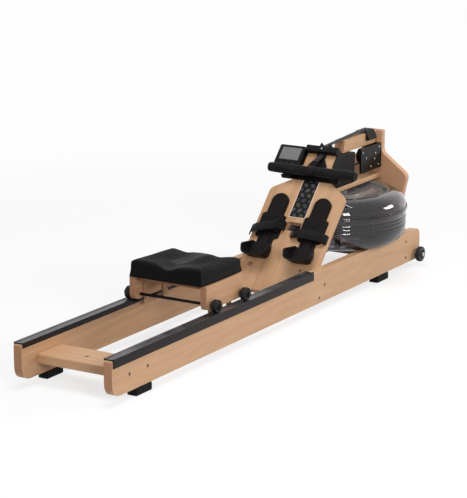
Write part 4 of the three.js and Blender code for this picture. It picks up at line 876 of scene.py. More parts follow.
def round_roller(source, lip, start, end, steps):
    """Stations round a roller, from one angle to another about its X axis."""
    low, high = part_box(source)
    middle = Vector((0, *middle_of(source).yz))
    reach = (high.z - low.z) / 2 - lip + strap_lift + strap_thickness / 2
    made = []
    for k in range(steps + 1):
        angle = start + (end - start) * k / steps
        face = Vector((0, math.cos(angle), math.sin(angle)))
        made.append((middle + face * reach, sideways, face))
    return made


climb = middle_of("top_roller") - middle_of("neck_roller")
rise = math.atan2(climb.z, climb.y)
outward = slope_angle + quarter
run = [(on_slope(0, up, strap_depth), sideways, slope_out)
       for up in (lead_end + strap_gap, neck_foot, neck_top)]
run += round_roller("neck_roller", 0, outward - slope_angle / 4, quarter + rise, 8)
run += round_roller("top_roller", 0, quarter + rise, 0, 12)
run += round_roller("lower_pulley", pulley_lip, 0, -quarter, 14)
twist_from = run[-1][0] + Vector((0, -twist_run, 0))
twist_to = Vector((twist_side, tank_middle.y, twist_from.z))
for k in range(twist_steps + 1):
    share = k / twist_steps
    angle = min(1, share / twist_share) * quarter
    run.append((twist_from.lerp(twist_to, share),
                Vector((math.cos(angle), 0, math.sin(angle))),
                Vector((math.sin(angle), 0, -math.cos(angle)))))

drive_webbing = woven("pull_strap_webbing", linear(30, 29, 31), linear(76, 75, 79))
dress(ribbon("pull_strap_run", run, strap_width, strap_thickness), drive_webbing, "strap_run")

lead = []
for k in range(lead_steps + 1):
    share = k / lead_steps
    up = lead_start + (lead_end - lead_start) * share
    out = handle_out + (strap_depth - handle_out) * share
    lead.append((on_slope(0, up, out), sideways, slope_out))
lead_strap = ribbon("pull_strap_lead", lead, strap_width, strap_thickness)
lead_strap.data.materials.append(drive_webbing)
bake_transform(lead_strap)
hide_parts("strap_lead")


# Handle: a steel bar in a fat foam grip with rounded ends and a narrow waist, where a
# folded steel clip holds the strap. It hangs in a rest with two hooks on the neck.

handle_low, handle_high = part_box("handle_grip")
handle_short = 0.012  # from the CAD's length
handle_aside = 0.003
handle_middle = middle_of("handle_grip") + Vector((handle_aside, 0, 0))
handle_half = (handle_high.x - handle_low.x - handle_short) / 2
grip_bulge = 0.00175  # past the mean of the radii at its waist and its end
grip_bulge_power = 0.7
grip_end_radius = 0.017
cap_radius = 0.015
cap_length = 0.012
waist_half = 0.026
waist_radius = 0.0165
grip_steps, grip_sides = 90, 56
rest_edge = 0.0016
bar_foot = (0.3515, 0.3545)  # up the slope, round the lower edge of the rest's bar
bar_drop = 0.008  # that edge, lowered from the CAD's

foam, entry, leave = surface_group("closed_foam", base=linear(17, 16, 16),
                                   worn=linear(34, 32, 31))
pores = noise(entry["Vector"], 900.0, 2.0)
dents = noise(entry["Vector"], 30.0)
join(leave,
     color=mixed((pores * 0.5 + dents).ranged(0.5, 1.1), entry["Base"], entry["Worn"]),
     roughness=dents.ranged(0.3, 0.7, 0.78, 0.9), height=pores * 0.4 + dents)
grip_foam = surfaced(principled("handle_foam", specular_ior_level=0.1, sheen_weight=0.06),
                     foam, 0.0006, 0.5)


def grip_at(x):
    """Radius of the grip at this distance from its middle."""
    end = handle_half - cap_length
    away = abs(x)
    if away > end:
        share = (away - end) / cap_length
        return cap_radius + (grip_end_radius - cap_radius) * math.sqrt(max(0.0, 1 - share ** 2))
    if away < waist_half:
        return waist_radius
    share = (away - waist_half) / (end - waist_half)
    bulge = math.sin(math.pi * share) ** grip_bulge_power
    return waist_radius + (grip_end_radius - waist_radius) * share + grip_bulge * bulge


grip_places = [handle_half * (2 * k / grip_steps - 1) for k in range(grip_steps + 1)]
grip_profile = [(0.0, -handle_half), *((grip_at(x), x) for x in grip_places),
                (0.0, handle_half)]
dress(lathe("handle_foam_grip", grip_profile, grip_sides, handle_middle, "X"), grip_foam,
      "handle_grip")
trimmed("handle_clip", "handle_fitting", black_metal, sheet_edge, 2)


def deepen_bar(spot):
    """Lowers the lower edge of the bar that the hooks stand on."""
    in_foot = bar_foot[0] < height_up(spot) < bar_foot[1]
    return spot - slope_up * bar_drop if in_foot else spot


trimmed("handle_rest_moulding", "handle_rest", black_moulding, rest_edge, move=deepen_bar)


# Foot plates: moulded boards screwed to the footboard from behind, each a narrow toe, broad
# shoulders and a heel strip with two slots. A raised pad on top carries fine treads.

plate_thickness = 0.007
pad_top = 0.016
pad_inset = 0.0016
pad_low = 0.119
plate_edge = 0.0014
foot_spacing = middle_of("foot_plate_right").x
strip_half, shoulder_half, toe_half = 0.030, 0.0455, 0.032
strip_low, strip_high = 0.015, 0.094
shoulder_low, shoulder_high = 0.101, 0.188
toe_foot, toe_top = 0.194, 0.277
slot_across, slot_half, slot_low, slot_high = 0.019, 0.003, 0.017, 0.11
tread_pitch = 0.0052
tread_height = 0.0007
tread_width = 0.0026
tread_inset = 0.0045
tread_margin = 0.006  # from the pad's ends to the first and the last tread
plate_gap = 0.0003
pad_sunk = 0.0005


def filleted(corners, steps=7):
    """Outline points of corners given as (x, y, radius), each rounded by its radius."""
    points = []
    for k, (x, y, radius) in enumerate(corners):
        spot = Vector((x, y))
        before = (Vector(corners[k - 1][:2]) - spot).normalized()
        after = (Vector(corners[(k + 1) % len(corners)][:2]) - spot).normalized()
        half = before.angle(after) / 2
        centre = spot + (before + after).normalized() * radius / math.sin(half)
        first = spot + before * radius / math.tan(half) - centre
        last = spot + after * radius / math.tan(half) - centre
        points += [tuple(centre + first.lerp(last, i / steps).normalized() * radius)
                   for i in range(steps + 1)]
    return points


def mirrored(corners):
    return corners + [(-x, y, radius) for x, y, radius in reversed(corners)]


def slope_slab(name, outline, across, low, high, slots=()):
    """A board standing on the slope, its upper rim eased, with slots let into its face."""
    shape = bmesh.new()
    face = shape.faces.new([shape.verts.new((x, y, low)) for x, y in outline])
    raised = bmesh.ops.extrude_face_region(shape, geom=[face])["geom"]
    tops = [item for item in raised if isinstance(item, bmesh.types.BMVert)]
    bmesh.ops.translate(shape, verts=tops, vec=(0, 0, high - low))
    rim = [item for item in raised if isinstance(item, bmesh.types.BMEdge)]
    bmesh.ops.holes_fill(shape, edges=[edge for edge in shape.edges if edge.is_boundary])
    bmesh.ops.bevel(shape, geom=rim, offset=plate_edge, segments=2, profile=0.5,
                    affect="EDGES", clamp_overlap=True)
    bmesh.ops.recalc_face_normals(shape, faces=shape.faces)
    made = from_shape(name, shape)
    for x, y0, y1 in slots:
        box = bmesh.new()
        bmesh.ops.create_cube(box, size=1.0)
        box.transform(Matrix.Translation((x, (y0 + y1) / 2, high)) @ Matrix.Diagonal(
            (2 * slot_half, y1 - y0, plate_thickness, 1)))
        cutter = from_shape("slot_cutter", box)
        made.modifiers.new("slot", "BOOLEAN").object = cutter
        applied(made)
        bpy.data.objects.remove(cutter)
    made.data.transform(slope_frame(on_slope(across, 0, 0)))
    return weighted(made, 40)


def slope_frame(origin):
    return Matrix((
        (1, 0, 0, origin.x), (0, slope_up.y, slope_out.y, origin.y),
        (0, slope_up.z, slope_out.z, origin.z), (0, 0, 0, 1),
    ))


def scatter(name, points, tree, sizes):
    """Runs a tree, with its sizes set, over points of (place, turn, reach)."""
    source = bpy.data.meshes.new(f"{name}_points")
    source.from_pydata([tuple(spot) for spot, turn, reach in points], [], [])
    turns = source.attributes.new("turn", "FLOAT_VECTOR", "POINT")
    reaches = source.attributes.new("reach", "FLOAT_VECTOR", "POINT")
    for k, (spot, turn, reach) in enumerate(points):
        turns.data[k].vector = turn
        reaches.data[k].vector = reach
    holder = place(name, source)
    modifier = holder.modifiers.new("scatter", "NODES")
    modifier.node_group = tree
    for item in tree.interface.items_tree:
        if item.in_out == "INPUT" and item.name in sizes:
            modifier[item.identifier] = sizes[item.name]
    applied(holder).data.name = name
    return holder


def scatter_tree(name, sizes, finish, shape_of):
    """A tree that puts one shape on each point, turned and stretched as the point says."""
    made = bpy.data.node_groups.new(name, "GeometryNodeTree")
    made.interface.new_socket("Geometry", in_out="INPUT", socket_type="NodeSocketGeometry")
    for title, value in sizes.items():
        made.interface.new_socket(
            title, in_out="INPUT", socket_type="NodeSocketFloat").default_value = value
    made.interface.new_socket("Geometry", in_out="OUTPUT", socket_type="NodeSocketGeometry")
    entry, leave = made.nodes.new("NodeGroupInput"), made.nodes.new("NodeGroupOutput")
    shape = shape_of(made, entry)
    turn, reach = (
        node(made, "GeometryNodeInputNamedAttribute", {"Name": title},
             data_type="FLOAT_VECTOR").outputs["Attribute"] for title in ("turn", "reach"))
    placed = node(made, "GeometryNodeInstanceOnPoints", {
        "Points": entry.outputs["Geometry"], "Instance": shape, "Rotation": turn,
        "Scale": reach})
    real = node(made, "GeometryNodeRealizeInstances", {"Geometry": placed.outputs[0]})
    finished = node(made, "GeometryNodeSetMaterial", {
        "Geometry": real.outputs[0], "Material": finish})
    made.links.new(finished.outputs[0], leave.inputs[0])
    return made


def tread_shape(tree, entry):
    """A low rib along X, one metre long before it is stretched."""
    size = node(tree, "ShaderNodeCombineXYZ", {
        0: 1.0, 1: entry.outputs["Width"], 2: entry.outputs["Height"]})
    bar = node(tree, "GeometryNodeMeshCube", {"Size": size.outputs[0]})
    return bar.outputs["Mesh"]


def tread_half(up):
    """Half length of a tread at this height, inside the pad's edge."""
    half = shoulder_half if up < shoulder_high else toe_half
    round_start = toe_top - toe_half
    if up > round_start:
        half = math.sqrt(max(0.0, toe_half ** 2 - (up - round_start) ** 2))
    return half - tread_inset


sole = moulded("sole_moulding", linear(14, 11, 11), linear(26, 22, 21), 1500.0, 0.42, 0.58)
plate_outline = filleted(mirrored([
    (strip_half, strip_low, 0.003), (strip_half, strip_high, 0.002),
    (shoulder_half, shoulder_low, 0.004), (shoulder_half, shoulder_high, 0.003),
    (toe_half, toe_foot, 0.002), (toe_half, toe_top, toe_half * 0.98),
]))
pad_outline = filleted(mirrored([
    (shoulder_half - pad_inset, pad_low, 0.004),
    (shoulder_half - pad_inset, shoulder_high - pad_inset, 0.003),
    (toe_half - pad_inset, toe_foot, 0.002),
    (toe_half - pad_inset, toe_top - pad_inset, (toe_half - pad_inset) * 0.98),
]))
plate_slots = [(-slot_across, slot_low, slot_high), (slot_across, slot_low, slot_high)]
for side, way in (("left", -1), ("right", 1)):
    dress(slope_slab(f"foot_plate_{side}_board", plate_outline, way * foot_spacing, plate_gap,
                     plate_thickness, plate_slots), sole, f"foot_plate_{side}")
    pad = slope_slab(f"foot_plate_{side}_pad", pad_outline, way * foot_spacing,
                     plate_thickness - pad_sunk, pad_top)
    pad.data.materials.append(sole)
    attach(pad, "frame")

treads = []
up = pad_low + tread_margin
while up < toe_top - tread_margin:
    treads += [(side * foot_spacing, up, tread_half(up)) for side in (-1, 1)]
    up += tread_pitch
tread_sizes = {"Width": tread_width, "Height": tread_height * 2}
tread_tree = scatter_tree("plate_treads", tread_sizes, sole, tread_shape)
tread_mesh = scatter("foot_plate_treads", [
    (on_slope(x, up, pad_top), (slope_angle, 0, 0), (2 * half, 1, 1)) for x, up, half in treads
], tread_tree, tread_sizes)
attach(tread_mesh, "frame")


# Heel cups: moulded scoops that slide along the plates' slots, wide at the floor, with
# walls that flare outward behind the heel and fall away towards the toe.

cup_low = 0.012
cup_length = 0.084
cup_short = 0.72  # share of the CAD cup's length towards the toe
cup_floor = 0.0073
cup_wall_height = 0.056
cup_broad = 0.32  # how much broader its floor is at the heel
cup_wall_share = 0.85  # of the CAD walls' height
cup_edge = 0.0016


def cup_move(middle):
    """Returns what moves a point of the cup whose middle lies this far across."""
    def move(spot):
        across, up = spot.x - middle, height_up(spot)
        out = (spot - slope_origin).dot(slope_out)
        along = min(1.0, max(0.0, (up - cup_low) / cup_length))
        high = min(1.0, max(0.0, (out - cup_floor) / cup_wall_height))
        across *= 1 + cup_broad * (1 - along) * (1 - high)
        if up > cup_low:
            up = cup_low + (up - cup_low) * cup_short
        out -= high * cup_wall_height * (1 - cup_wall_share)
        return on_slope(middle + across, up, out)
    return move


for side, way in (("left", -1), ("right", 1)):
    trimmed(f"heel_cup_{side}_moulding", f"heel_cup_{side}", sole, cup_edge,
            move=cup_move(way * foot_spacing))


# Foot straps: black tape drawn slackly over each foot from beside the plate, the outer end
# lower than the inner, with a small steel buckle near the inner end.

tape_width = 0.036
tape_thickness = 0.0026
tape_lays = {  # heights up the slope of the outer and inner ends, rise, and their reaches
    -1: (0.117, 0.150, 0.027, 0.070, 0.056),
    1: (0.116, 0.124, 0.023, 0.066, 0.076),
}
buckle_half = 0.015
buckle_bar = 0.0036
buckle_corner = 0.004
buckle_tongue = 0.35  # its radius, as a share of the bar's thickness
buckle_turn = math.radians(38)  # round the arch from its inner end
tape_steps = 40
tape_fullness = 0.8  # of its arch: 1 is a half ellipse
foot_tape = woven("foot_tape", linear(14, 13, 13), linear(28, 26, 26), 0.0021)


def tape_at(way, angle):
    """Place and face of the strap of one foot, at an angle round it from the inner end."""
    outer, inner, height, outer_reach, inner_reach = tape_lays[way]
    share = (1 - math.cos(angle)) / 2
    reach = inner_reach if math.cos(angle) > 0 else outer_reach
    spot = on_slope(way * (foot_spacing - reach * math.cos(angle)),
                    inner + (outer - inner) * share,
                    strap_gap + height * math.sin(angle) ** tape_fullness)
    face = Vector((-way * math.cos(angle) * height, 0, 0)) + slope_out * math.sin(angle) * reach
    return spot, face.normalized()


def looped_frame(half, bar):
    """A buckle: a round-cornered frame of bent bar, lying flat, with a tongue."""
    shape = bmesh.new()
    path = []
    for k, (sx, sy) in enumerate(((1, 1), (-1, 1), (-1, -1), (1, -1))):
        for step in range(5):
            angle = quarter * (k + step / 4)
            path.append(Vector((
                sx * (half - buckle_corner) + buckle_corner * math.cos(angle),
                sy * (half - buckle_corner) + buckle_corner * math.sin(angle), 0)))
    upright = Vector((0, 0, 1))
    sections = []
    for k, spot in enumerate(path):
        along = (path[(k + 1) % len(path)] - path[k - 1]).normalized()
        aside = along.cross(upright)
        sections.append([
            shape.verts.new(spot + bar / 2 * (math.cos(a) * aside + math.sin(a) * upright))
            for a in (2 * math.pi * i / 10 for i in range(10))
        ])
    skin(shape, sections, True)
    tongue = [
        [shape.verts.new(Vector((0, y, 0))
                         + bar * buckle_tongue * Vector((math.cos(a), 0, math.sin(a))))
         for a in (2 * math.pi * i / 8 for i in range(8))]
        for y in (-half, half)
    ]
    skin(shape, tongue)
    for ring in tongue:
        shape.faces.new(ring)
    bmesh.ops.recalc_face_normals(shape, faces=shape.faces)
    return shape


for side, way in (("left", -1), ("right", 1)):
    stations = [(spot, slope_up, face) for spot, face in (
        tape_at(way, math.pi * k / tape_steps) for k in range(tape_steps + 1))]
    dress(ribbon(f"foot_strap_{side}_tape", stations, tape_width, tape_thickness), foot_tape,
          f"foot_strap_{side}")
    spot, face = tape_at(way, buckle_turn)
    middle = spot + face * (tape_thickness + buckle_bar) / 2
    shape = looped_frame(buckle_half, buckle_bar)
    lying = Matrix((slope_up.cross(face), slope_up, face)).transposed().to_4x4()
    shape.transform(Matrix.Translation(middle) @ lying)
    buckle = from_shape(f"foot_strap_{side}_buckle", shape)
    buckle.data.shade_smooth()
    buckle.data.materials.append(black_metal)
    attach(buckle, "frame")


# Inlay: a thin printed strip let into the footboard between the feet. Its pattern is a
# plain repeat of leaf shapes in muted greys and greens on black, inside a pale line.

inlay_half = 0.034
inlay_start = 0.190
inlay_length = 0.162
inlay_border = 0.0034
inlay_edge = 0.0003
leaf_wide, leaf_high = 0.027, 0.021
leaf_turn = math.radians(38)
leaf_bow = 1.3


def on_board(made):
    """How far each point of a material lies across the footboard, and up its slope."""
    spot = spots(made)
    across = Flow(node(made.node_tree, "ShaderNodeSeparateXYZ", {0: spot}).outputs["X"])
    from_foot = vector_sum(spot, "SUBTRACT", tuple(slope_origin))
    return across, vector_sum(from_foot, "DOT_PRODUCT", tuple(slope_up))


inlay_print = principled("printed_inlay", specular_ior_level=0.12)
tree = inlay_print.node_tree
across, upward = on_board(inlay_print)
upward = upward - inlay_start
rows = upward / leaf_high
row = rows.then("FLOOR")
odd = row.then("PINGPONG", 1.0)
columns = odd * 0.5 + across / leaf_wide
in_x = columns.then("FRACT") - 0.5
in_y = (rows.then("FRACT") - 0.5) * (leaf_high / leaf_wide)
lean = (odd - 0.5) * (2 * math.sin(leaf_turn))
turned_x = in_x * math.cos(leaf_turn) + in_y * lean
turned_y = in_y * math.cos(leaf_turn) - in_x * lean
vein = abs(turned_y).ranged(0.012, 0.035, 0.35, 1.0)
worn = noise(spots(inlay_print), 160.0)
leaf = (abs(turned_y) + turned_x * turned_x * leaf_bow).ranged(0.27, 0.22)
leaf = leaf * vein * worn.ranged(0.3, 0.6, 0.45, 1.0)
cell = node(tree, "ShaderNodeCombineXYZ", {0: columns.then("FLOOR"), 1: row}).outputs[0]
pick = Flow(node(tree, "ShaderNodeTexWhiteNoise", {"Vector": cell},
                 noise_dimensions="2D").outputs["Value"])
shade = mixed(pick.ranged(0.3, 0.4), linear(86, 84, 88), linear(66, 73, 80))
shade = mixed(pick.ranged(0.72, 0.78), shade, linear(76, 86, 62))
end_gap = upward.then("MINIMUM", upward * -1.0 + inlay_length)
edge_gap = (abs(across) * -1.0 + inlay_half).then("MINIMUM", end_gap)
border = edge_gap.ranged(inlay_border + 0.0003, inlay_border - 0.0003)
inside = edge_gap.ranged(inlay_border + 0.001, inlay_border + 0.002)
face = mixed(leaf * inside, linear(15, 11, 14), shade)
join(sockets(inlay_print), base_color=mixed(border, face, linear(232, 200, 182)),
     roughness=worn.ranged(0.3, 0.7, 0.34, 0.48))
bumped(inlay_print, leaf, 0.0001, 0.6)
inlay_foot, inlay_top = (height_up(corner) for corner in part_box("footboard_inlay"))


def stretched_inlay(spot):
    """A strip a little wider and longer than the CAD's, as the photograph shows."""
    up = height_up(spot)
    share = min(1.0, max(0.0, (up - inlay_foot) / (inlay_top - inlay_foot)))
    moved = inlay_start + share * inlay_length - up
    return Vector((math.copysign(inlay_half, spot.x), spot.y, spot.z)) + slope_up * moved


trimmed("footboard_inlay_strip", "footboard_inlay", inlay_print, inlay_edge, 2,
        stretched_inlay)


# Seat pad: one thick moulding of dense foam with a deep skirt, two hollows with raised
# ribs for grip, a scooped channel behind, and softly rounded edges.

seat_low, seat_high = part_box("seat_pad")
seat_short = 0.006  # in front, from the CAD's length
seat_middle = middle_of("seat_pad") - Vector((0, seat_short / 2, 0))
seat_half_x = (seat_high.x - seat_low.x) / 2
seat_half_y = (seat_high.y - seat_low.y - seat_short) / 2
seat_foot = seat_low.z
seat_skirt = 0.053
seat_lean = (0.002, 0.0045)  # raised in the middle, and further towards the rear
seat_rim_inset = 0.012
seat_corner = 0.07
seat_hollows = (  # middle and reach across and along, and depth, as shares of the pad's
    (-0.48, -0.12, 0.34, 0.5, 0.26), (0.48, -0.12, 0.34, 0.5, 0.26),
    (-0.5, 1, 0.28, 0.4, 0.16), (0.5, 1, 0.28, 0.4, 0.16),
    (0.02, -0.1, 0.14, 0.9, 0.1), (0.04, -1.0, 0.3, 0.34, 0.27),
)
seat_edge_share = 0.07
seat_edge_power = 10
seat_cells = 150
rib_pitch = 0.0125
rib_height = 0.0016
rib_bow = 0.006
rib_spans = ((0.17, 0.25, 0.84, 0.92), (-0.66, -0.56, 0.84, 0.92))  # across and along
channel_middle, channel_edge, channel_end = 0.02, (0.1, 0.2), (-0.7, -0.45)
scoop_middle, scoop_reach = (0.004, -0.86), (0.042, 0.26)  # metres across, share along
# Painted sheen: how much lighter the ribs and the channel are painted, and how far the skin goes to its lighter
# shade.
rib_sheen, channel_sheen, sheen_depth = 0.6, 0.85, 0.7
skirt_levels = (
    (0.9, 0.985), (0.62, 0.955), (0.42, 0.9), (0.34, 0.8), (0.3, 0.65), (0.28, 0.5),
    (0.2, 0.35), (0.1, 0.2), (0.0, 0.08), (0.06, 0.03), (0.3, 0.006), (1.4, 0.0),
)  # inset and height of the skirt going down, as shares of the rim's and the top's


def smooth(low, high, value):
    share = min(1.0, max(0.0, (value - low) / (high - low)))
    return share * share * (3 - 2 * share)


def seat_top(u, v):
    dips = sum(
        depth * math.exp(-((u - at_u) / reach_u) ** 2 - ((v - at_v) / reach_v) ** 2)
        for at_u, at_v, reach_u, reach_v, depth in seat_hollows
    )
    edge = max(abs(u), abs(v)) ** seat_edge_power
    return seat_skirt * (1 - dips - seat_edge_share * edge) + seat_lean[0] - seat_lean[1] * v


def seat_place(u, v, inset):
    return (
        (seat_half_x - inset) * u * math.sqrt(1 - seat_corner * v * v / 2),
        (seat_half_y - inset) * v * math.sqrt(1 - seat_corner * u * u / 2),
    )


def seat_rib(x, y):
    """How far a point of the plan is on one of the ribs that cross both hollows."""
    across = abs(x) / seat_half_x
    bowed = y + rib_bow * math.cos(math.pi * (across - 0.5))
    made = smooth(0.3, 0.9, 0.5 + 0.5 * math.cos(2 * math.pi * bowed / rib_pitch))
    for value, span in zip((across, y / seat_half_y), rib_spans):
        made *= smooth(*span[:2], value) * (1 - smooth(*span[2:], value))
    return made


def seat_sheen(x, y):
    """How much painted sheen lightens the skin: on the ribs, along the channel and in the rear scoop."""
    along = y / seat_half_y
    aside = abs(x / seat_half_x - channel_middle)
    channel = (1 - smooth(*channel_edge, aside)) * smooth(*channel_end, along)
    scoop = math.exp(-((x - scoop_middle[0]) / scoop_reach[0]) ** 2
                     - ((along - scoop_middle[1]) / scoop_reach[1]) ** 2)
    return min(1.0, max(channel * channel_sheen, scoop) + rib_sheen * seat_rib(x, y))


def seat_shape():
    """The top as a grid, and the skirt as rings that go down from its rim."""
    shape = bmesh.new()
    # Each point's painted sheen, kept in a layer named worn.
    sheen_layer = shape.verts.layers.float.new("worn")
    n = seat_cells
    grid = []
    for i in range(n + 1):
        u = 2 * i / n - 1
        row = []
        for j in range(n + 1):
            v = 2 * j / n - 1
            x, y = seat_place(u, v, seat_rim_inset)
            row.append(shape.verts.new((x, y, seat_top(u, v) + rib_height * seat_rib(x, y))))
            row[-1][sheen_layer] = seat_sheen(x, y)
        grid.append(row)
    for i in range(n):
        for j in range(n):
            shape.faces.new((grid[i][j], grid[i + 1][j], grid[i + 1][j + 1], grid[i][j + 1]))
    rim = [(k, 0) for k in range(n)] + [(n, k) for k in range(n)]
    rim += [(n - k, n) for k in range(n)] + [(0, n - k) for k in range(n)]
    rings = [[grid[i][j] for i, j in rim]]
    for inset, height in skirt_levels:
        ring = []
        for i, j in rim:
            u, v = 2 * i / n - 1, 2 * j / n - 1
            x, y = seat_place(u, v, inset * seat_rim_inset)
            ring.append(shape.verts.new((x, y, height * seat_top(u, v))))
        rings.append(ring)
    skin(shape, rings)
    shape.faces.new(rings[-1])
    bmesh.ops.recalc_face_normals(shape, faces=shape.faces)
    shape.transform(Matrix.Translation((seat_middle.x, seat_middle.y, seat_foot)))
    return shape


seat_pad = from_shape("seat_pad_foam", seat_shape())
seat_pad.data.shade_smooth()
seat_foam = moulded("seat_skin", linear(12, 12, 11), linear(22, 22, 21), 1100.0, 0.5, 0.66,
                    depth=0.0001, specular=0.06)
# Painted sheen: the skin is painted lighter on the ribs, along the channel and in the rear scoop.
sheen_mask = Flow(node(seat_foam.node_tree, "ShaderNodeAttribute",
                      attribute_name="worn").outputs["Fac"])
recoloured(seat_foam, sheen_mask * sheen_depth, linear(56, 56, 56))
dress(seat_pad, seat_foam, "seat_pad")


# Seat carriage: two beech cheeks, a bridging board with guide legs inside the rails, two
# black steel axles, and four wheels with hard hubs that roll in the tracks.

cheek_wood = wood("seat_cheek_beech", (0, 0, -quarter), spread=0.2, width=0.3, knots=0.0,
                  pale=linear(198, 156, 118), deep=linear(172, 126, 90))
cheek_outside = 0.146
cheek_front = -0.214
cheek_low, cheek_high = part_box("seat_cheek_left")
arch_inset, arch_rise = 0.064, 0.0155
bridge_edge, axle_edge = 0.0012, 0.0008


def slimmer(spot):
    """A cheek a little thinner and shorter than the CAD's, with a straight lower edge."""
    x = math.copysign(min(abs(spot.x), cheek_outside), spot.x)
    arched = (cheek_low.y + arch_inset < spot.y < cheek_high.y - arch_inset
              and spot.z < cheek_low.z + arch_rise)
    return Vector((x, min(spot.y, cheek_front), cheek_low.z if arched else spot.z))


for side in ("left", "right"):
    trimmed(f"seat_cheek_{side}_plank", f"seat_cheek_{side}", cheek_wood, plank_edge,
            move=slimmer)
trimmed("seat_bridge", "seat_board", cheek_wood, bridge_edge, 2)
for end in ("rear", "front"):
    trimmed(f"seat_axle_{end}_rod", f"seat_axle_{end}", black_metal, axle_edge, 2)

wheel_tyre = moulded("wheel_tyre", linear(26, 24, 25), linear(52, 48, 49), 1200.0, 0.42, 0.58)
wheel_radius = 0.021
wheel_half = 0.0095
wheel_edge = 0.0028
wheel_hub = 0.009
wheel_hub_out = 0.0125
wheel_hub_edge = 0.0008
wheel_dish = 0.0024  # how deep its face is dished
wheel_bore = 0.0053
wheel_out = 0.1645
wheel_sides = 56


def rounded_tread(radius, half, edge, steps):
    """Points over a tyre's tread, from one face to the other."""
    return [
        (radius - edge + edge * math.cos(a), way * (half - edge + edge * math.sin(a)))
        for way, sweep in ((-1, range(steps, -1, -1)), (1, range(steps + 1)))
        for a in (quarter * k / steps for k in sweep)
    ]


wheel_profile = [  # a rounded tread, and a dished face round a raised hub
    (wheel_bore, -wheel_half), *rounded_tread(wheel_radius, wheel_half, wheel_edge, 6),
    (wheel_radius - 0.0052, wheel_half - 0.0008),
    (wheel_radius - 0.0062, wheel_half - wheel_dish),
    (wheel_hub + 0.0018, wheel_half - wheel_dish), (wheel_hub, wheel_half - 0.0006),
    (wheel_hub, wheel_hub_out - wheel_hub_edge), (wheel_hub - wheel_hub_edge, wheel_hub_out),
    (wheel_bore, wheel_hub_out),
]
for end in ("rear", "front"):
    for side, way in (("left", -1), ("right", 1)):
        source = f"seat_wheel_{end}_{side}"
        middle = Vector((way * wheel_out, *middle_of(source).yz))
        profile = [(radius, way * out) for radius, out in wheel_profile]
        dress(lathe(f"{source}_tyre", profile, wheel_sides, middle, "X"), wheel_tyre, source)


# Transport wheels: hard black tyres on grey-rimmed discs at the front corners of the
# rails, each turning on a plated bolt with a round collar behind it.

caster_radius = 0.028
caster_half = 0.0085
caster_edge = 0.0045
caster_out = 0.0035  # outward from the middle of its CAD node
caster_bore = 0.0063
caster_sides = 72
bolt_edge = 0.0006
caster_line = (0.0186, 0.0214)  # inner and outer radius of the bright line round its disc
caster_line_depth = 0.0012
caster_disc = moulded("caster_disc", linear(30, 30, 31), linear(58, 58, 60), 900.0, 0.34, 0.48)
rim_line = metallic("caster_rim_line", linear(96, 98, 100), linear(160, 162, 164),
                    (500.0, 500.0, 500.0), 0.6)
caster_profile = [
    (caster_bore, -caster_half), *rounded_tread(caster_radius, caster_half, caster_edge, 7),
    *((radius, caster_half - depth) for radius, depth in (
        (0.0212, 0.0), (0.0205, 0.0007), (0.0190, 0.0007), (0.0183, 0.0030), (0.0104, 0.0030),
        (0.0092, 0.0004), (0.0084, 0.0), (caster_bore, 0.0))),
]
for side, way in (("left", -1), ("right", 1)):
    source = f"transport_wheel_{side}"
    middle = middle_of(source) + Vector((way * caster_out, 0, 0))
    profile = [(radius, way * out) for radius, out in caster_profile]
    tyre = lathe(f"{source}_tyre", profile, caster_sides, middle, "X")
    dress(tyre, caster_disc, source)
    tyre.data.materials.append(rim_line)
    for face in tyre.data.polygons:
        spot = face.center - middle
        reach = math.hypot(spot.y, spot.z)
        outside = way * spot.x > caster_half - caster_line_depth
        if outside and caster_line[0] < reach < caster_line[1]:
            face.material_index = 1
    trimmed(f"transport_bolt_{side}_pin", f"transport_bolt_{side}", zinc, bolt_edge, 2)


# Bolts: plated socket heads sunk in counterbores in the rails, and smaller heads of bright
# steel that hold the strap drive's cheeks and the handle's rest.

head_radius = 0.0055
head_depth = 0.004
socket_share = 0.52
socket_depth = 0.0024
rail_face = 0.179
sunk = 0.0024  # into the rail's counterbore
cheek_face = 0.042
cheek_head_out = 0.0012
small_head = 0.75  # size of the cheeks' screws, as a share of the rails'
rest_head = 0.55
panel_low, panel_wide, panel_out = -0.092, 0.08, -0.0441  # the cleat, seen along the slope


def head_shape(tree, entry):
    """A socket head along Z: a cylinder with its rim eased and a round socket in it."""
    body = node(tree, "GeometryNodeMeshCylinder", {
        "Vertices": 24, "Side Segments": 1, "Fill Segments": 1,
        "Radius": entry.outputs["Radius"], "Depth": entry.outputs["Depth"],
    })
    top = body.outputs["Top"]
    mesh = body.outputs["Mesh"]
    for share, rise in ((0.94, 0.0005), (0.8, 0.0002), (socket_share / 0.75, 0.0), (1.0, None)):
        drop = Flow(entry.outputs["Socket"]) * -1.0 if rise is None else rise
        pushed = node(tree, "GeometryNodeExtrudeMesh", {
            "Mesh": mesh, "Selection": top, "Offset Scale": drop,
        }, mode="FACES")
        pushed.inputs["Individual"].default_value = False
        top = pushed.outputs["Top"]
        scaled = node(tree, "GeometryNodeScaleElements", {
            "Geometry": pushed.outputs["Mesh"], "Selection": top, "Scale": share,
        }, domain="FACE")
        mesh = scaled.outputs["Geometry"]
    return mesh


bolt_metal = metallic("plated_bolt", linear(118, 108, 92), linear(186, 176, 158),
                      (700.0, 700.0, 700.0))
bolt_sizes = {"Radius": head_radius, "Depth": head_depth, "Socket": socket_depth}
bolt_tree = scatter_tree("rail_bolts", bolt_sizes, bolt_metal, head_shape)

bolt_rows = [(-0.91475, 0.078), (-0.81725, 0.078), (0.894, 0.0454), (0.894, 0.1059)]
for share in (0.13, 0.81):
    spot = on_slope(0, panel_low + share * panel_wide, panel_out)
    bolt_rows.append((spot.y, spot.z))
rail_heads = [
    (Vector((way * (rail_face - sunk - head_depth / 2), y, z)), (0, way * quarter, 0), (1, 1, 1))
    for way in (-1, 1) for y, z in bolt_rows
]

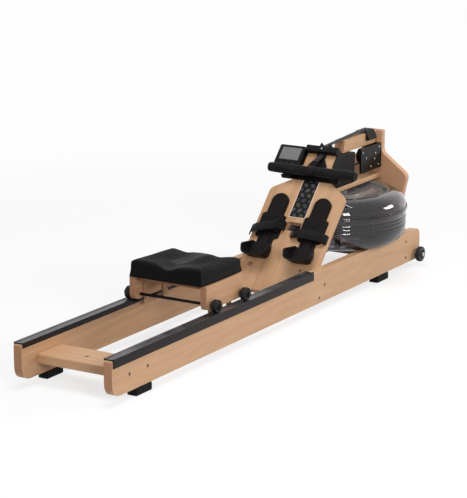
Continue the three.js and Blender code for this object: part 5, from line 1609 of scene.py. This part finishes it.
cheek_heads = [
    (Vector((cheek_face + cheek_head_out, y, z)), (0, quarter, 0), (small_head,) * 3)
    for y, z in ((0.827, 0.416), (0.802, 0.440), (0.899, 0.424), (0.894, 0.404), (0.865, 0.380),
                 (0.930, 0.444), (0.925, 0.378))
]
rest_screw = [(on_slope(0.0, 0.4705, 0.0222), (slope_angle, 0, 0), (rest_head,) * 3)]
small_tree = scatter_tree("cheek_bolts", bolt_sizes, zinc, head_shape)
for name, tree, heads in (
    ("rail_bolt_heads", bolt_tree, rail_heads), ("drive_bolt_heads", small_tree, cheek_heads),
    ("slope_bolt_heads", small_tree, rest_screw),
):
    bolts = scatter(name, heads, tree, bolt_sizes)
    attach(bolts, "frame")


# Monitor: a black moulded box on a steel arm beside the neck, with a grey display under
# a clear lens and three rubber keys below it. It tilts about the arm.

display_x = -0.116
display_up = 0.438
display_half = (0.040, 0.027)
display_rim = 0.0028
display_soft = 0.0003  # how softly a mark ends
case_edge, arm_edge, pane_edge, key_edge = 0.0022, 0.0008, 0.0005, 0.0008
display_grey = linear(108, 108, 107)
mark_grey = linear(78, 79, 79)
display_marks = (  # left, right, low and high edge of each bar or block
    (-0.033, -0.012, 0.0150, 0.0158), (0.010, 0.033, 0.0150, 0.0158),
    (-0.031, -0.027, 0.0178, 0.0212), (-0.022, -0.018, 0.0178, 0.0212),
    (0.014, 0.018, 0.0178, 0.0212), (0.026, 0.030, 0.0178, 0.0212),
    (-0.033, 0.033, -0.0166, -0.0160), (-0.029, -0.017, -0.0214, -0.0192),
    (-0.006, 0.006, -0.0214, -0.0192), (0.017, 0.029, -0.0214, -0.0192),
    (0.0195, 0.0205, 0.002, 0.010), (0.0275, 0.0285, 0.002, 0.010),
)

trimmed("monitor_case", "monitor_housing", black_moulding, case_edge)
trimmed("monitor_bracket_arm", "monitor_arm", black_metal, arm_edge, 2)

display = principled("monitor_display", coat_weight=0.5, coat_roughness=0.08)
across, upward = on_board(display)
places = across - display_x, upward - display_up
marks = None
for mark in display_marks:
    area = None
    for place_along, low, high in zip(places, mark[::2], mark[1::2]):
        inside = (place_along.ranged(low - display_soft, low)
                  * place_along.ranged(high + display_soft, high))
        area = area * inside if area else inside
    marks = marks.then("MAXIMUM", area) if marks else area
rim = [abs(place_along).ranged(half - display_rim, half - display_rim + 2 * display_soft)
       for place_along, half in zip(places, display_half)]
smudge = noise(spots(display), 60.0, 2.0)
face = mixed(smudge.ranged(0.3, 0.7), display_grey, linear(100, 101, 100))
face = mixed(marks * 0.7, face, mark_grey)
face = mixed(rim[0].then("MAXIMUM", rim[1]), face, linear(30, 30, 31))
join(sockets(display), base_color=face, roughness=smudge.ranged(0.3, 0.7, 0.22, 0.32))
trimmed("monitor_lens_pane", "monitor_lens", display, pane_edge, 2)

key_rubber = moulded("key_rubber", linear(44, 44, 46), linear(70, 70, 72), 1200.0, 0.55, 0.7)
for number in (1, 2, 3):
    trimmed(f"monitor_key_{number}", f"monitor_button_{number}", key_rubber, key_edge)
